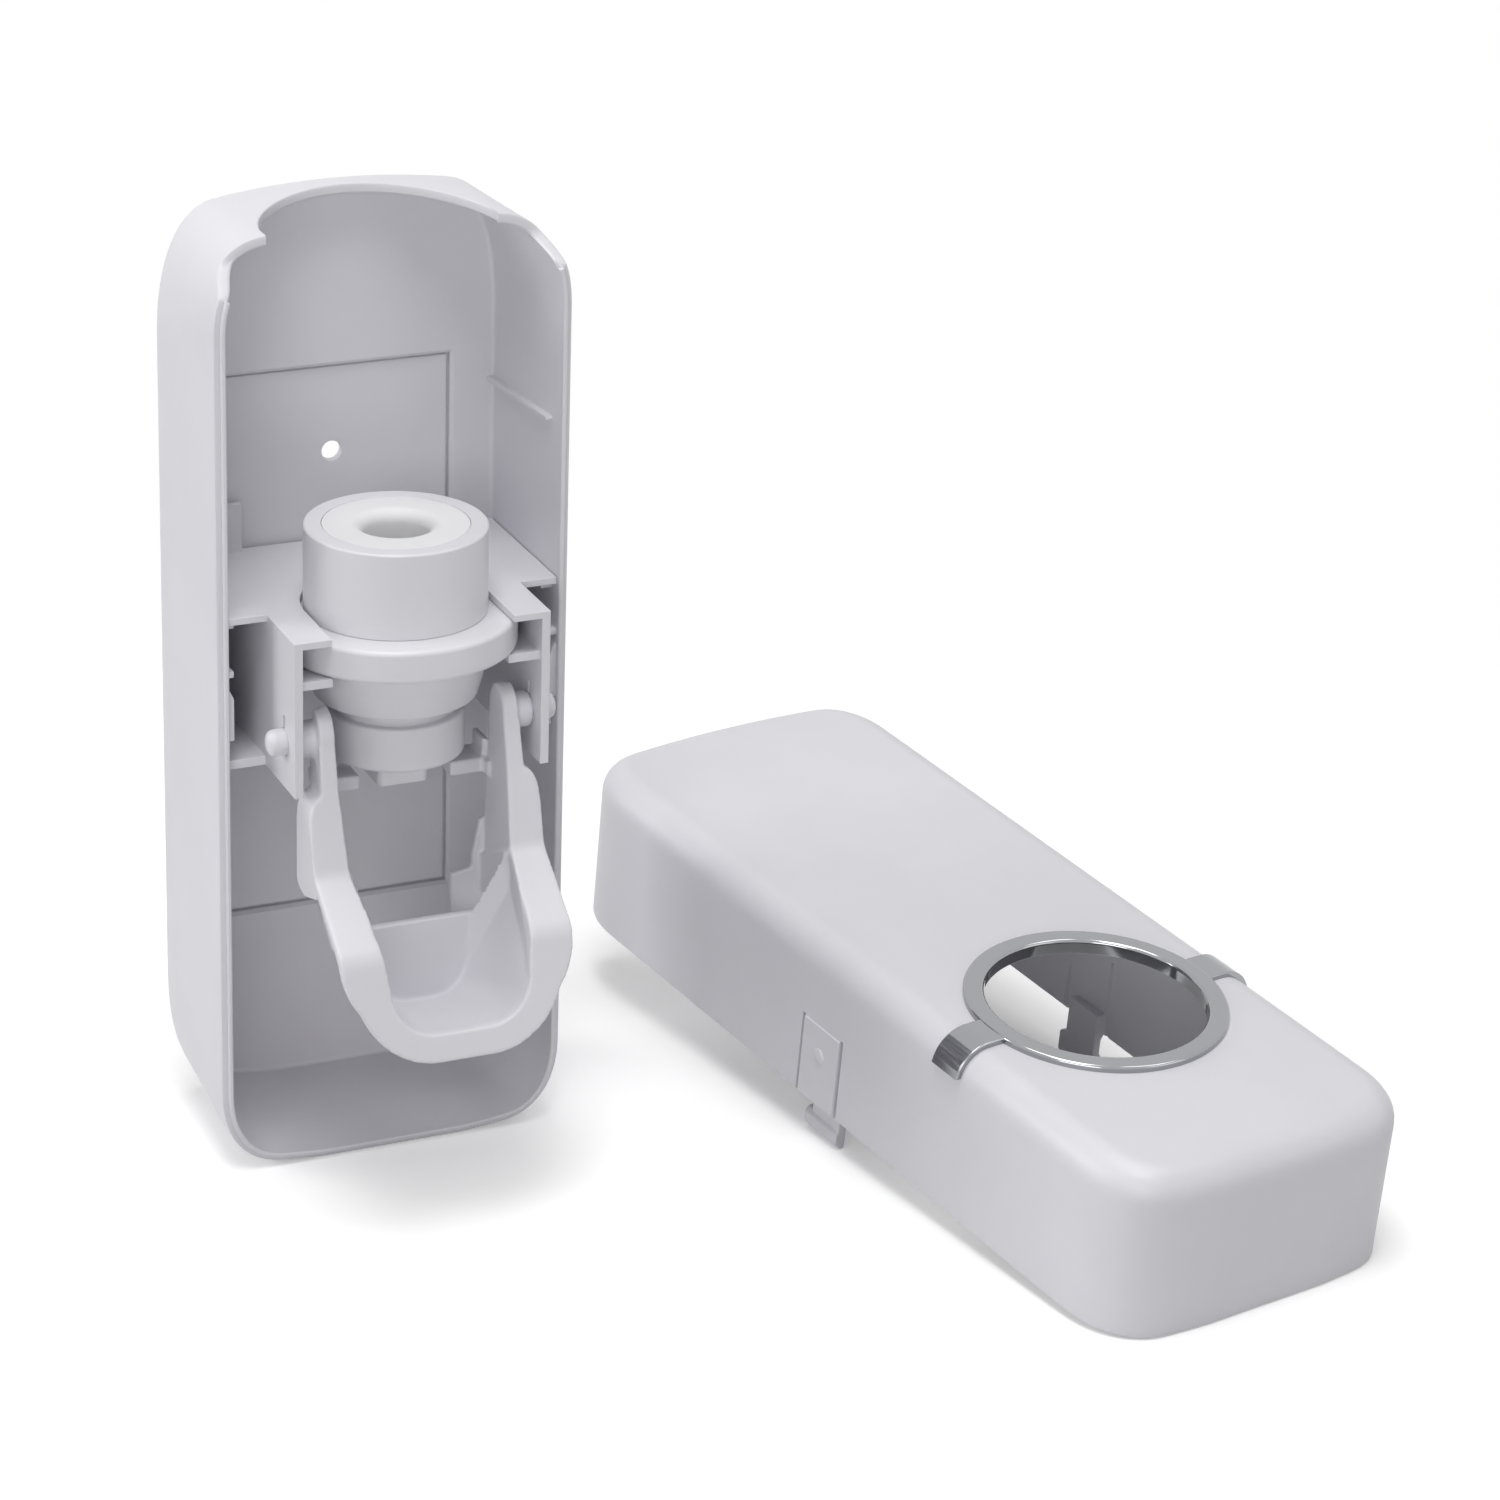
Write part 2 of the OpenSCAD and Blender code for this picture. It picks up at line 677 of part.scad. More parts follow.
module pump_spring() color("silver") {
    steps = spring_turns * spring_rings;
    pts = [for (i = [0 : steps], j = [0 : spring_sides - 1])
        let (a = 360 * i / spring_rings, b = 360 * j / spring_sides, r = spring_r + wire_d / 2 * cos(b))
        [r * cos(a), pump_y + r * sin(a),
            spring_low + wire_d / 2 + spring_pitch * i / spring_rings + wire_d / 2 * sin(b)]];
    sides = [for (i = [0 : steps - 1], j = [0 : spring_sides - 1], half = [0, 1])
        let (k = (j + 1) % spring_sides, p = i * spring_sides, q = p + spring_sides)
        half == 0 ? [p + j, q + j, q + k] : [p + j, q + k, p + k]];
    first = [for (j = [0 : spring_sides - 1]) j];
    last = [for (j = [spring_sides - 1 : -1 : 0]) steps * spring_sides + j];
    polyhedron(pts, concat(sides, [first, last]));
}

module pump_cup() color("white") {
    r = barrel_bore - cup_gap;
    turned(concat(
        [[nozzle_neck_r, cup_low]],
        arc_pts(r - soft_edge, cup_low + soft_edge, soft_edge, -90, 0, corner_steps),
        arc_pts(r - soft_edge / 2, cup_top - soft_edge / 2, soft_edge / 2, 0, 90, corner_steps),
        [[cup_in_r, cup_top], [cup_in_r, cup_low + cup_floor], [nozzle_neck_r, cup_low + cup_floor]]));
}

module outlet_valve() color("lightsteelblue") {
    top = cup_top - spigot_in_cup;
    turned([[disc_slit_r, top - disc_t], [disc_r, top - disc_t], [disc_r, top], [disc_slit_r, top]]);
}

module nozzle() color("white") {
    neck_top = cup_top - spigot_in_cup - disc_t;
    neck_r_in = nozzle_neck_r - spigot_gap;
    turned(concat(
        [[outlet_r, nozzle_low + mouth_h], [outlet_r + mouth_h / 2, nozzle_low]],
        arc_pts(nozzle_r - soft_edge, nozzle_low + soft_edge, soft_edge, -90, 0, corner_steps),
        [[nozzle_r, cup_low], [neck_r_in, cup_low], [neck_r_in, neck_top], [outlet_r, neck_top]]));
}

// The lever's rounded top, seen from the side
function hub_arc(reach, t, from, to) = [for (i = [0 : corner_steps])
    let (a = from + (to - from) * i / corner_steps)
    [pivot_out + (reach - t) * cos(a), pivot_z + (hub_r - t) * sin(a)]];

// Its front surface below that top, down to where the foot's curl starts
function front_pts() = [[knee_out, knee_z], [bend_out, bend_z], [lip_out - lip_back, lip_top_z],
    [lip_out, lip_turn_z], [lip_out + curl_start, curl_z]];

// The curled foot's outer edge, seen from the side
function curl_pts() = [[lip_out + curl_start, curl_z], [lip_out + curl_mid, lever_foot_z + curl_mid_h],
    [lip_out + curl_end, lever_foot_z + curl_end_h], [lip_out + curl_end, lever_foot_z]];

function moved_back(pts, t, drop) = [for (i = [len(pts) - 1 : -1 : 0]) pts[i] - [t, drop]];

// The right half of the lever's outer outline, from its top to its foot
function lever_side(inset) = concat(
    [[arm_half + band_top_w, pivot_z + hub_r], [arm_half + band_w, knee_z]],
    [for (i = [1 : corner_steps]) let (a = 90 * i / corner_steps)
        [arm_half + band_w + (lever_half - arm_half - band_w) * sin(a), knee_z - wing_run * (1 - cos(a))]],
    arc_pts(lever_half - wing_r, lever_foot_z + wing_low_h, wing_r - inset, 0, -wing_turn, corner_steps),
    arc_pts(foot_half - foot_r, lever_foot_z + foot_r, foot_r - inset, -foot_turn, -90, corner_steps));

module lever() color("white") {
    intersection() {
        side_shape(body_w, concat(hub_arc(hub_reach, 0, 90, 0), front_pts(),
            moved_back(front_pts(), lever_flange_t, lever_flange_t / 2),
            hub_arc(hub_reach, lever_flange_t, 0, 90)));
        front_shape(pivot_out, lip_out + curl_end) difference() {
            polygon(mirrored(lever_side(0)));
            polygon(u_pts([[arm_half, pivot_z + hub_r + over], [arm_half, knee_z], [bend_half, bend_z]],
                u_low_half, u_floor_z, u_bottom_r));
        }
    }
    lever_arms();
    lever_scoop();
    lever_foot();
    both_sides() lever_lift();
}

// The two arms with their pivot stubs
module lever_arms() {
    intersection() {
        side_shape(body_w, concat(hub_arc(arm_back_reach, 0, 180, 90), hub_arc(hub_reach, 0, 90, 0),
            [[knee_out, knee_z], [bend_out, bend_z], [bend_out + over, arm_low_z],
                [arm_back_out, arm_low_z]]));
        front_shape(0, lip_out) both_sides() polygon([[arm_half, pivot_z + hub_r], [arm_half, knee_z],
            [bend_half, bend_z], [bend_half, arm_low_z], [bend_half + lever_t, arm_low_z],
            [bend_half + lever_t, bend_z], [arm_half + lever_t, knee_z],
            [arm_half + lever_t, pivot_z + hub_r]]);
    }
    root = arm_half + lever_t / 2;
    both_sides() translate([root, pivot_y, pivot_z]) rotate([0, 90, 0]) {
        cylinder(r = boss_r, h = boss_end_half - root);
        rotate_extrude() polygon(concat([[0, 0], [stub_r, 0]],
            [for (i = [0 : edge_steps]) let (a = 90 * i / edge_steps)
                [stub_r * cos(a), stub_end_half - root - stub_dome * (1 - sin(a))]]));
    }
}

// The funnel that the brush head is pushed into, closed at the back by the push plate
module lever_scoop() {
    difference() {
        scoop_form(lever_t, 0);
        scoop_form(0, over);
        block(-push_half, push_half, 0, lip_out, push_top_z, body_h);
        side_shape(body_w, [[lip_out + over, lip_turn_z], [lip_out, lip_turn_z],
            [lip_out - lip_back, lip_top_z], [bend_out, bend_z], [push_out, strip_top_z], [0, strip_top_z],
            [0, body_h], [lip_out + over, body_h]]);
    }
}

module scoop_form(t, reach) hull() {
    front_shape(lip_out - skin, lip_out + reach)
        polygon(u_pts([[bend_half + t, bend_z + reach]], u_low_half + t, u_floor_z - t, u_bottom_r + t));
    front_shape(bend_out - skin, bend_out)
        translate([-bend_half - t, arm_low_z]) square([2 * (bend_half + t), strip_top_z + reach - arm_low_z]);
    front_shape(push_out - t, push_out - t + skin)
        polygon(u_pts([[strip_half + t, strip_top_z + reach]], push_half + t, push_low_z - t, push_r + t));
}

// The flared and curled lip at the lever's foot
module lever_foot() difference() {
    foot_form(lever_flange_t, 0, lever_t, 0);
    foot_form(-over, curl_edge, 0, over);
    front_shape(lip_out - lever_t - over, lip_out + skin) polygon(foot_pts(0, over));
}

module foot_form(depth, inset, t, rise) hull() {
    intersection() {
        side_shape(body_w, concat(rise > 0 ? [[lip_out + curl_start, curl_z + rise]] : [], curl_pts(),
            moved_back(curl_pts(), depth, 0)));
        front_shape(pivot_out, face_out + body_w) polygon(mirrored(lever_side(inset)));
    }
    front_shape(lip_out - t, lip_out - t + skin) polygon(foot_pts(t, rise));
}

// The part of the scoop's round bottom that is below the start of the curl, or up to a rise above it
function foot_pts(t, rise) =
    let (r = u_bottom_r + t, centre_z = u_floor_z + u_bottom_r)
    mirrored(arc_pts(u_low_half - u_bottom_r, centre_z, r, asin((curl_z + rise - centre_z) / r), -90,
        corner_steps));

// The step on each arm that lifts the cup
module lever_lift() {
    low = lift_top_z - lift_t;
    block(lift_half, arm_half, lift_back_out, lift_back_out + lift_l, low, lift_top_z);
    block(lift_half, lift_half + lift_rib_w, lift_back_out + lift_rib_in,
        lift_back_out + lift_rib_in + lift_rib_t, low, lift_top_z + lift_rib_h);
    block(arm_half - riser_t, arm_half, lift_back_out + riser_in,
        lift_back_out + riser_in + riser_l, low, lift_top_z + riser_h);
    block(arm_half - riser_t, arm_half + lever_t / 2, arm_back_out - over,
        arm_back_out + lift_root_l - over, low, lift_top_z);
}

// Puts the cover's pieces where the cover is
module cover_at() {
    if (cover_place == "fitted")
        children();
    else
        translate([cover_x, -cover_front, 0]) rotate([cover_tilt, 0, cover_turn]) rotate([-90, 0, 0])
            translate([0, -rim_y, 0]) children();
}

module front_cover() color("white") cover_at() {
    tongue_low = tongue_z - tongue_w / 2;
    tongue_high = tongue_z + tongue_w / 2;
    difference() {
        rounded_case(0, setback_out, face_out, face_edge_r);
        rounded_case(wall, setback_out - over, face_out - wall, face_edge_r - wall);
        behind_rim(joint_gap);
        difference() {
            slab(wall - lip_t - joint_gap, 0, housing_d + lip_h + joint_gap);
            above_rim(joint_gap);
        }
        tube_opening(cover_open_out, setback_out - over);
        translate([0, back_y - face_out + wall + over, ring_z]) rotate([90, 0, 0])
            cylinder(r = ring_in_r + collar_t + collar_gap, h = wall + 2 * over);
        for (z = [tongue_low - slit_w, tongue_high]) block(-body_w, body_w, housing_d - over,
            housing_d + slit_h, z, z + slit_w);
    }
    both_sides() front_hook(tongue_low, tongue_high);
}

// A hook that reaches behind the rear half's rim and snaps over its catch
module front_hook(z0, z1) {
    outer = inner_half - hook_inset;
    neck_out = outer - hook_barb;
    neck_in = neck_out - hook_neck_t;
    tip = housing_d - hook_h;
    translate([0, back_y, z0]) linear_extrude(z1 - z0) polygon([
        [inner_half + wall / 2, -housing_d - hook_root],
        [neck_in, -housing_d - hook_root],
        [neck_in, -tip],
        [outer - hook_nose, -tip],
        [outer, -tip - hook_nose],
        [outer, -tip - hook_barb_h + catch_room],
        [neck_out, -tip - hook_barb_h],
        [neck_out, -housing_d - lip_h - joint_gap],
        [inner_half + wall / 2, -housing_d - lip_h - joint_gap]]);
}

module trim_ring() color("silver") cover_at() {
    translate([0, back_y - face_out, ring_z]) rotate([90, 0, 0]) rotate_extrude() polygon(concat(
        [[ring_in_r, -collar_h], [ring_in_r + collar_t, -collar_h], [ring_in_r + collar_t, 0],
            [ring_out_r, 0]],
        arc_pts(ring_out_r - ring_edge_r, ring_t - ring_edge_r, ring_edge_r, 0, 90, corner_steps),
        arc_pts(ring_in_r + ring_edge_r, ring_t - ring_edge_r, ring_edge_r, 90, 180, corner_steps)));
    intersection() {
        difference() {
            rounded_case(-ear_t, housing_d, face_out + ear_t, face_edge_r + ear_t);
            rounded_case(-trim_gap, 0, face_out + skin, face_edge_r);
        }
        both_sides() block(ring_out_r - ear_t, body_w, face_out - ear_drop, face_out + over + ear_t,
            ring_z - ear_w / 2, ring_z + ear_w / 2);
    }
}

rear_housing();
wall_plate();
wall_pads();
pump_carrier();
pump_cap();
tube_seat();
cap_gasket();
pump_body();
inlet_valve();
pump_spring();
piston();
piston_seal();
pump_cup();
outlet_valve();
nozzle();
lever();
front_cover();
trim_ring();
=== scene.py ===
"""The dispenser's looks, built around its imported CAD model.

Lengths are in millimetres up to the point where a mesh is made. "Out" is a distance from the wall
plane towards the user, as in the part's source.
"""

import json
import math

import bmesh
import bpy
import numpy as np
from mathutils import Matrix, Vector

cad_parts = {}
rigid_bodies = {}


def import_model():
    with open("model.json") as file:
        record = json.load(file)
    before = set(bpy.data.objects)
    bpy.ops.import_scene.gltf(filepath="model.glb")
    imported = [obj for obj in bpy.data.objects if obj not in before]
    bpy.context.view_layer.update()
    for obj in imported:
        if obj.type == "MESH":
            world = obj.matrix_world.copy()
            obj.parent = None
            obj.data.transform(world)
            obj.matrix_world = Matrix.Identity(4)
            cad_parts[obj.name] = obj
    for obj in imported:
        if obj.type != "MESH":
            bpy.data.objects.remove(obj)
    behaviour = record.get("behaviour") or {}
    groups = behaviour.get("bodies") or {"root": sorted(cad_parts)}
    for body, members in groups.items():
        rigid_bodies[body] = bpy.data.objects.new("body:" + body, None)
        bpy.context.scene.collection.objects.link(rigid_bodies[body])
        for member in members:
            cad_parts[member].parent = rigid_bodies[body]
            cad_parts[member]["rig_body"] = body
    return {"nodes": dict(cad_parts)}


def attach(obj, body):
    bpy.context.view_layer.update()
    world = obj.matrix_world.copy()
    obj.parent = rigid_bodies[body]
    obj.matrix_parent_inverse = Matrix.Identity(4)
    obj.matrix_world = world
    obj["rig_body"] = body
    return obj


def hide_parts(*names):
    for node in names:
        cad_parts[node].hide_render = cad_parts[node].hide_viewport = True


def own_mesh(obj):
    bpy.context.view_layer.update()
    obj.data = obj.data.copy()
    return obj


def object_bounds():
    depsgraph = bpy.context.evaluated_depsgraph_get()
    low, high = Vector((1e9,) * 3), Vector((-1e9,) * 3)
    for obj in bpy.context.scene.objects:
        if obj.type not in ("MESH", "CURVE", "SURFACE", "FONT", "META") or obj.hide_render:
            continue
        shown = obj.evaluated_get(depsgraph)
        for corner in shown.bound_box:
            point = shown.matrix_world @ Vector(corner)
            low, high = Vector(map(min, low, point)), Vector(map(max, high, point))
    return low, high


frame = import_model()
cad_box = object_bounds()

MM = 0.001
WORK = bpy.context.scene.collection

# The case, as in the part's source
BODY_W, BODY_H = 62, 166.6
HOUSING_D, COVER_D = 33, 31
FACE_OUT = HOUSING_D + COVER_D
BACK_Y = HOUSING_D / 2
WALL, BACK_WALL = 1.8, 2.4
END_CROWN, CROWN_DRAW = 2.5, 1.2
CORNER_W, CORNER_H, CORNER_DRAW, CORNER_N = 11, 14, 8, 2.4
CORNER_X = BODY_W / 2 - CORNER_W
BACK_EDGE_R, INNER_EDGE_R, FACE_EDGE_R = 3, 0.8, 5.5
FOOT_CUT = 0.4
LIP_H = 1
JOINT_GAP = 0.15
OPEN_R, OPEN_OUT, COVER_OPEN_OUT = 20, 26.5, 36
SETBACK, SETBACK_Z, SETBACK_RUN = 6, BODY_H - 9.5, 5
SETBACK_OUT = HOUSING_D - SETBACK
WINDOW_HALF, WINDOW_LOW, WINDOW_HIGH = 21.3, 34, 133.6
POCKET_EDGE, POCKET_T = 3.0, 0.9
INNER_HALF = BODY_W / 2 - WALL
SHELF_Z, SHELF_T = 102.6, 1.2
TONGUE_Z, TONGUE_W = 85.2, 10.4
SLIT_W, SLIT_H = 0.8, 16
HOOK_H = 7
RING_Z, RING_IN_R, RING_OUT_R, RING_T = 50.8, 19.2, 22.8, 1.2
COVER_X, COVER_FRONT, COVER_TURN = 115.7, 119.4, 10.8
COVER_TILT = math.degrees(math.atan2(HOOK_H, TONGUE_Z - TONGUE_W / 2))

# The pump and the lever, as in the part's source
PUMP_OUT = 33.5
SLOT_GAP, PUMP_FLANGE_T, CAP_H = 0.15, 5.8, 15
BARREL_H, NECK_H, CUP_H, NOZZLE_H = 8.9, 2.6, 8, 4.5
FLANGE_TOP = SHELF_Z - SHELF_T - SLOT_GAP
FLANGE_LOW = FLANGE_TOP - PUMP_FLANGE_T
CAP_TOP = FLANGE_TOP + CAP_H
BARREL_LOW = FLANGE_LOW - BARREL_H
CUP_TOP = BARREL_LOW - NECK_H
CUP_LOW = CUP_TOP - CUP_H
NOZZLE_LOW = CUP_LOW - NOZZLE_H
PIVOT_OUT, PIVOT_Z = 41.5, 83.3


# ---------------------------------------------------------------- meshes

MERGE, HULL_MERGE = 1e-6, 2e-6  # metres within which points become one
CORNER_SHARE = 0.49  # how much of an outline's edge one rounded corner may take


def new_piece(name, verts, faces):
    """A mesh object from points in millimetres, given as (x, out, z)."""
    mesh = bpy.data.meshes.new(name)
    points = [(x * MM, (BACK_Y - out) * MM, z * MM) for x, out, z in verts]
    mesh.from_pydata(points, [], [tuple(int(i) for i in f) for f in faces])
    tidy_mesh(mesh)
    piece = bpy.data.objects.new(name, mesh)
    WORK.objects.link(piece)
    return piece


def tidy_mesh(mesh):
    """Merges what coincides and turns every face outwards."""
    bm = bmesh.new()
    bm.from_mesh(mesh)
    bmesh.ops.remove_doubles(bm, verts=bm.verts, dist=MERGE)
    bmesh.ops.dissolve_degenerate(bm, edges=bm.edges, dist=MERGE)
    bmesh.ops.recalc_face_normals(bm, faces=bm.faces)
    bm.to_mesh(mesh)
    bm.free()


def loops_to_piece(name, rows):
    """Closed rows of equally many points, joined in turn, the last one back to the first."""
    count = len(rows[0])
    verts = [p for row in rows for p in row]
    faces = []
    for j in range(len(rows)):
        a, b = j * count, ((j + 1) % len(rows)) * count
        for k in range(count):
            n = (k + 1) % count
            faces.append((a + k, a + n, b + n, b + k))
    return new_piece(name, verts, faces)


def prism(name, pts, low, high, axis):
    """A flat outline pushed along an axis: (x, z) points along 'out', (out, z) points along 'x'
    and (x, out) points along 'z'."""
    n = len(pts)
    if axis == "out":
        verts = [(p[0], t, p[1]) for t in (low, high) for p in pts]
    elif axis == "x":
        verts = [(t, p[0], p[1]) for t in (low, high) for p in pts]
    else:
        verts = [(p[0], p[1], t) for t in (low, high) for p in pts]
    faces = [tuple(range(n - 1, -1, -1)), tuple(range(n, 2 * n))]
    faces += [(i, (i + 1) % n, n + (i + 1) % n, n + i) for i in range(n)]
    return new_piece(name, verts, faces)


def block(x0, x1, out0, out1, z0, z1):
    return prism("block", [(x0, z0), (x1, z0), (x1, z1), (x0, z1)], out0, out1, "out")


def hull(name, points):
    """The convex form around some points."""
    mesh = bpy.data.meshes.new(name)
    bm = bmesh.new()
    for x, out, z in points:
        bm.verts.new((x * MM, (BACK_Y - out) * MM, z * MM))
    bmesh.ops.remove_doubles(bm, verts=bm.verts, dist=HULL_MERGE)
    made = bmesh.ops.convex_hull(bm, input=bm.verts)
    unused = made["geom_interior"] + made["geom_unused"]
    extra = {g for g in unused if isinstance(g, bmesh.types.BMVert)}
    bmesh.ops.delete(bm, geom=list(extra), context="VERTS")
    bmesh.ops.dissolve_limit(bm, angle_limit=math.radians(0.5), verts=bm.verts, edges=bm.edges)
    bmesh.ops.triangulate(bm, faces=[f for f in bm.faces if len(f.verts) > 4])
    bmesh.ops.recalc_face_normals(bm, faces=bm.faces)
    bm.to_mesh(mesh)
    bm.free()
    piece = bpy.data.objects.new(name, mesh)
    WORK.objects.link(piece)
    return piece


def apply_modifiers(piece):
    deps = bpy.context.evaluated_depsgraph_get()
    mesh = bpy.data.meshes.new_from_object(piece.evaluated_get(deps))
    piece.modifiers.clear()
    piece.data = mesh
    return piece


def combine(piece, tools, operation, solver="MANIFOLD"):
    """Joins or cuts a piece with each tool in turn, and removes the tools."""
    for tool in tools:
        cut = piece.modifiers.new("cut", "BOOLEAN")
        cut.operation, cut.object, cut.solver = operation, tool, solver
        apply_modifiers(piece)
        bpy.data.objects.remove(tool)
    return piece


def union(piece, *tools):
    return combine(piece, tools, "UNION")


def minus(piece, *tools):
    return combine(piece, tools, "DIFFERENCE")


def common(piece, *tools):
    return combine(piece, tools, "INTERSECT")


def mirrored_copy(piece):
    """The same piece on the other side of the middle plane."""
    mesh = piece.data.copy()
    mesh.transform(Matrix.Scale(-1, 4, (1, 0, 0)))
    mesh.flip_normals()
    other = bpy.data.objects.new(piece.name + "_left", mesh)
    WORK.objects.link(other)
    return other


def soften(piece, width, angle=30):
    """Rounds the sharp edges of a piece with few, flat faces."""
    bm = bmesh.new()
    bm.from_mesh(piece.data)
    bmesh.ops.remove_doubles(bm, verts=bm.verts, dist=HULL_MERGE)
    bmesh.ops.dissolve_limit(bm, angle_limit=math.radians(1), verts=bm.verts, edges=bm.edges)
    limit = math.radians(angle)
    sharp = [e for e in bm.edges if len(e.link_faces) == 2 and e.calc_face_angle(0) > limit]
    bmesh.ops.bevel(
        bm,
        geom=sharp,
        offset=width * MM,
        offset_type="OFFSET",
        segments=2,
        profile=0.5,
        affect="EDGES",
        clamp_overlap=True,
    )
    bmesh.ops.remove_doubles(bm, verts=bm.verts, dist=MERGE)
    bm.to_mesh(piece.data)
    bm.free()
    return piece


def smooth_shading(piece, angle=35, weighted=True):
    """Smooth faces, with an edge kept wherever the surface turns by more than an angle."""
    mesh = piece.data
    mesh.polygons.foreach_set("use_smooth", [True] * len(mesh.polygons))
    mesh.set_sharp_from_angle(angle=math.radians(angle))
    if weighted:
        flat = piece.modifiers.new("flat faces", "WEIGHTED_NORMAL")
        flat.keep_sharp = True
    return piece


def dress(piece, node):
    """Puts a finished piece on its body, in place of its CAD node."""
    material = NODE_MATERIAL[node]
    piece.data.materials.clear()
    piece.data.materials.append(MATERIALS[material])
    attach(piece, frame["nodes"][node]["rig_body"])
    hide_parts(node)
    return piece


def rounded(points, steps=6):
    """A closed outline whose corners have radii: (a, b) or (a, b, radius)."""
    out = []
    count = len(points)
    for i, p in enumerate(points):
        if len(p) == 2 or p[2] == 0:
            out.append((p[0], p[1]))
            continue
        here = Vector(p[:2])
        before = Vector(points[i - 1][:2]) - here
        after = Vector(points[(i + 1) % count][:2]) - here
        turn = before.angle(after)
        longest = min(before.length, after.length) * CORNER_SHARE
        reach = min(p[2] / math.tan(turn / 2), longest)
        radius = reach * math.tan(turn / 2)
        before.normalize()
        after.normalize()
        middle = here + (before + after).normalized() * radius / math.sin(turn / 2)
        start, end = here + before * reach - middle, here + after * reach - middle
        sweep = start.angle_signed(end)
        for k in range(steps + 1):
            v = start.copy()
            v.rotate(Matrix.Rotation(-sweep * k / steps, 2))
            out.append(tuple(middle + v))
    return out


def lathe(name, profile, centre_out=PUMP_OUT, steps=112):
    """A closed [radius, height] outline turned about an upright axis."""
    rows = []
    for i in range(steps):
        a = 2 * math.pi * i / steps
        rows.append([(r * math.cos(a), centre_out + r * math.sin(a), z) for r, z in profile])
    return loops_to_piece(name, rows)


# ---------------------------------------------------------------- materials


def noise(tree, coords, scale, detail=3, rough=0.5):
    """A noise texture's strength, by the piece's own coordinates in metres."""
    node = tree.nodes.new("ShaderNodeTexNoise")
    node.inputs["Scale"].default_value = scale
    node.inputs["Detail"].default_value = detail
    node.inputs["Roughness"].default_value = rough
    tree.links.new(coords, node.inputs["Vector"])
    return node.outputs["Fac"]


def ramp(tree, fac, low, high, colours):
    """A colour between two, as a strength goes from low to high."""
    node = tree.nodes.new("ShaderNodeValToRGB")
    node.color_ramp.elements[0].position, node.color_ramp.elements[1].position = low, high
    node.color_ramp.elements[0].color, node.color_ramp.elements[1].color = colours
    tree.links.new(fac, node.inputs["Fac"])
    return node.outputs["Color"]


def moulded(name, colour, rough, grain, grain_scale=2600, tint=0.03, soft=0.0, metal=0.0):
    """Moulded plastic, rubber or plated metal, with a slightly uneven colour and gloss and a grain.

    tint is how much darker the colour gets in places, and soft how much light enters the surface.
    """
    material = bpy.data.materials.new(name)
    material.use_nodes = True
    tree = material.node_tree
    shader = tree.nodes["Principled BSDF"]
    coords = tree.nodes.new("ShaderNodeTexCoord").outputs["Object"]
    slow = noise(tree, coords, 45, 4)
    fine = noise(tree, coords, grain_scale, 2, 0.6)
    shades = (tuple(c * (1 - tint) for c in colour) + (1,), tuple(colour) + (1,))
    tree.links.new(ramp(tree, slow, 0.35, 0.65, shades), shader.inputs["Base Color"])
    gloss = tree.nodes.new("ShaderNodeMapRange")
    gloss.inputs["To Min"].default_value = rough * 0.9
    gloss.inputs["To Max"].default_value = min(1, rough * 1.12)
    tree.links.new(noise(tree, coords, 320, 3), gloss.inputs["Value"])
    tree.links.new(gloss.outputs["Result"], shader.inputs["Roughness"])
    bump = tree.nodes.new("ShaderNodeBump")
    bump.inputs["Strength"].default_value = grain
    bump.inputs["Distance"].default_value = 0.0002
    tree.links.new(fine, bump.inputs["Height"])
    tree.links.new(bump.outputs["Normal"], shader.inputs["Normal"])
    shader.inputs["Metallic"].default_value = metal
    if soft:
        shader.inputs["Subsurface Weight"].default_value = soft
        shader.inputs["Subsurface Radius"].default_value = (0.003, 0.0028, 0.0026)
        shader.inputs["Subsurface Scale"].default_value = 1.0
    return material


MATERIALS = {
    "case_plastic": moulded("case_plastic", (0.72, 0.713, 0.75), 0.42, 0.05),
    "pump_plastic": moulded("pump_plastic", (0.745, 0.74, 0.77), 0.34, 0.04),
    "soft_seat": moulded("soft_seat", (0.80, 0.80, 0.815), 0.6, 0.06, soft=0.15),
    "clear_silicone": moulded("clear_silicone", (0.78, 0.80, 0.82), 0.35, 0.03, soft=0.3),
    "dark_seal": moulded("dark_seal", (0.10, 0.10, 0.11), 0.6, 0.06),
    "spring_steel": moulded("spring_steel", (0.62, 0.63, 0.65), 0.3, 0.03, metal=1.0),
    # painted shade: the chrome's colour is darker than plated metal, standing in for the darker
    # reflections on the ring's faces
    "trim_chrome": moulded("trim_chrome", (0.36, 0.365, 0.38), 0.1, 0.006, tint=0.02, metal=1.0),
    "pad_foam": moulded("pad_foam", (0.55, 0.55, 0.60), 0.85, 0.5, grain_scale=900, tint=0.08),
}

NODE_MATERIAL = {
    "rear_housing": "case_plastic",
    "wall_plate": "case_plastic",
    "wall_pads": "pad_foam",
    "pump_carrier": "case_plastic",
    "pump_cap": "pump_plastic",
    "tube_seat": "soft_seat",
    "cap_gasket": "clear_silicone",
    "pump_body": "pump_plastic",
    "inlet_valve": "clear_silicone",
    "pump_spring": "spring_steel",
    "piston": "pump_plastic",
    "piston_seal": "dark_seal",
    "pump_cup": "pump_plastic",
    "outlet_valve": "clear_silicone",
    "nozzle": "pump_plastic",
    "lever": "case_plastic",
    "front_cover": "case_plastic",
    "trim_ring": "trim_chrome",
}
for node_name, material_name in NODE_MATERIAL.items():
    node_mesh = frame["nodes"][node_name].data
    node_mesh.materials.clear()
    node_mesh.materials.append(MATERIALS[material_name])


# ---------------------------------------------------------------- the case's two halves


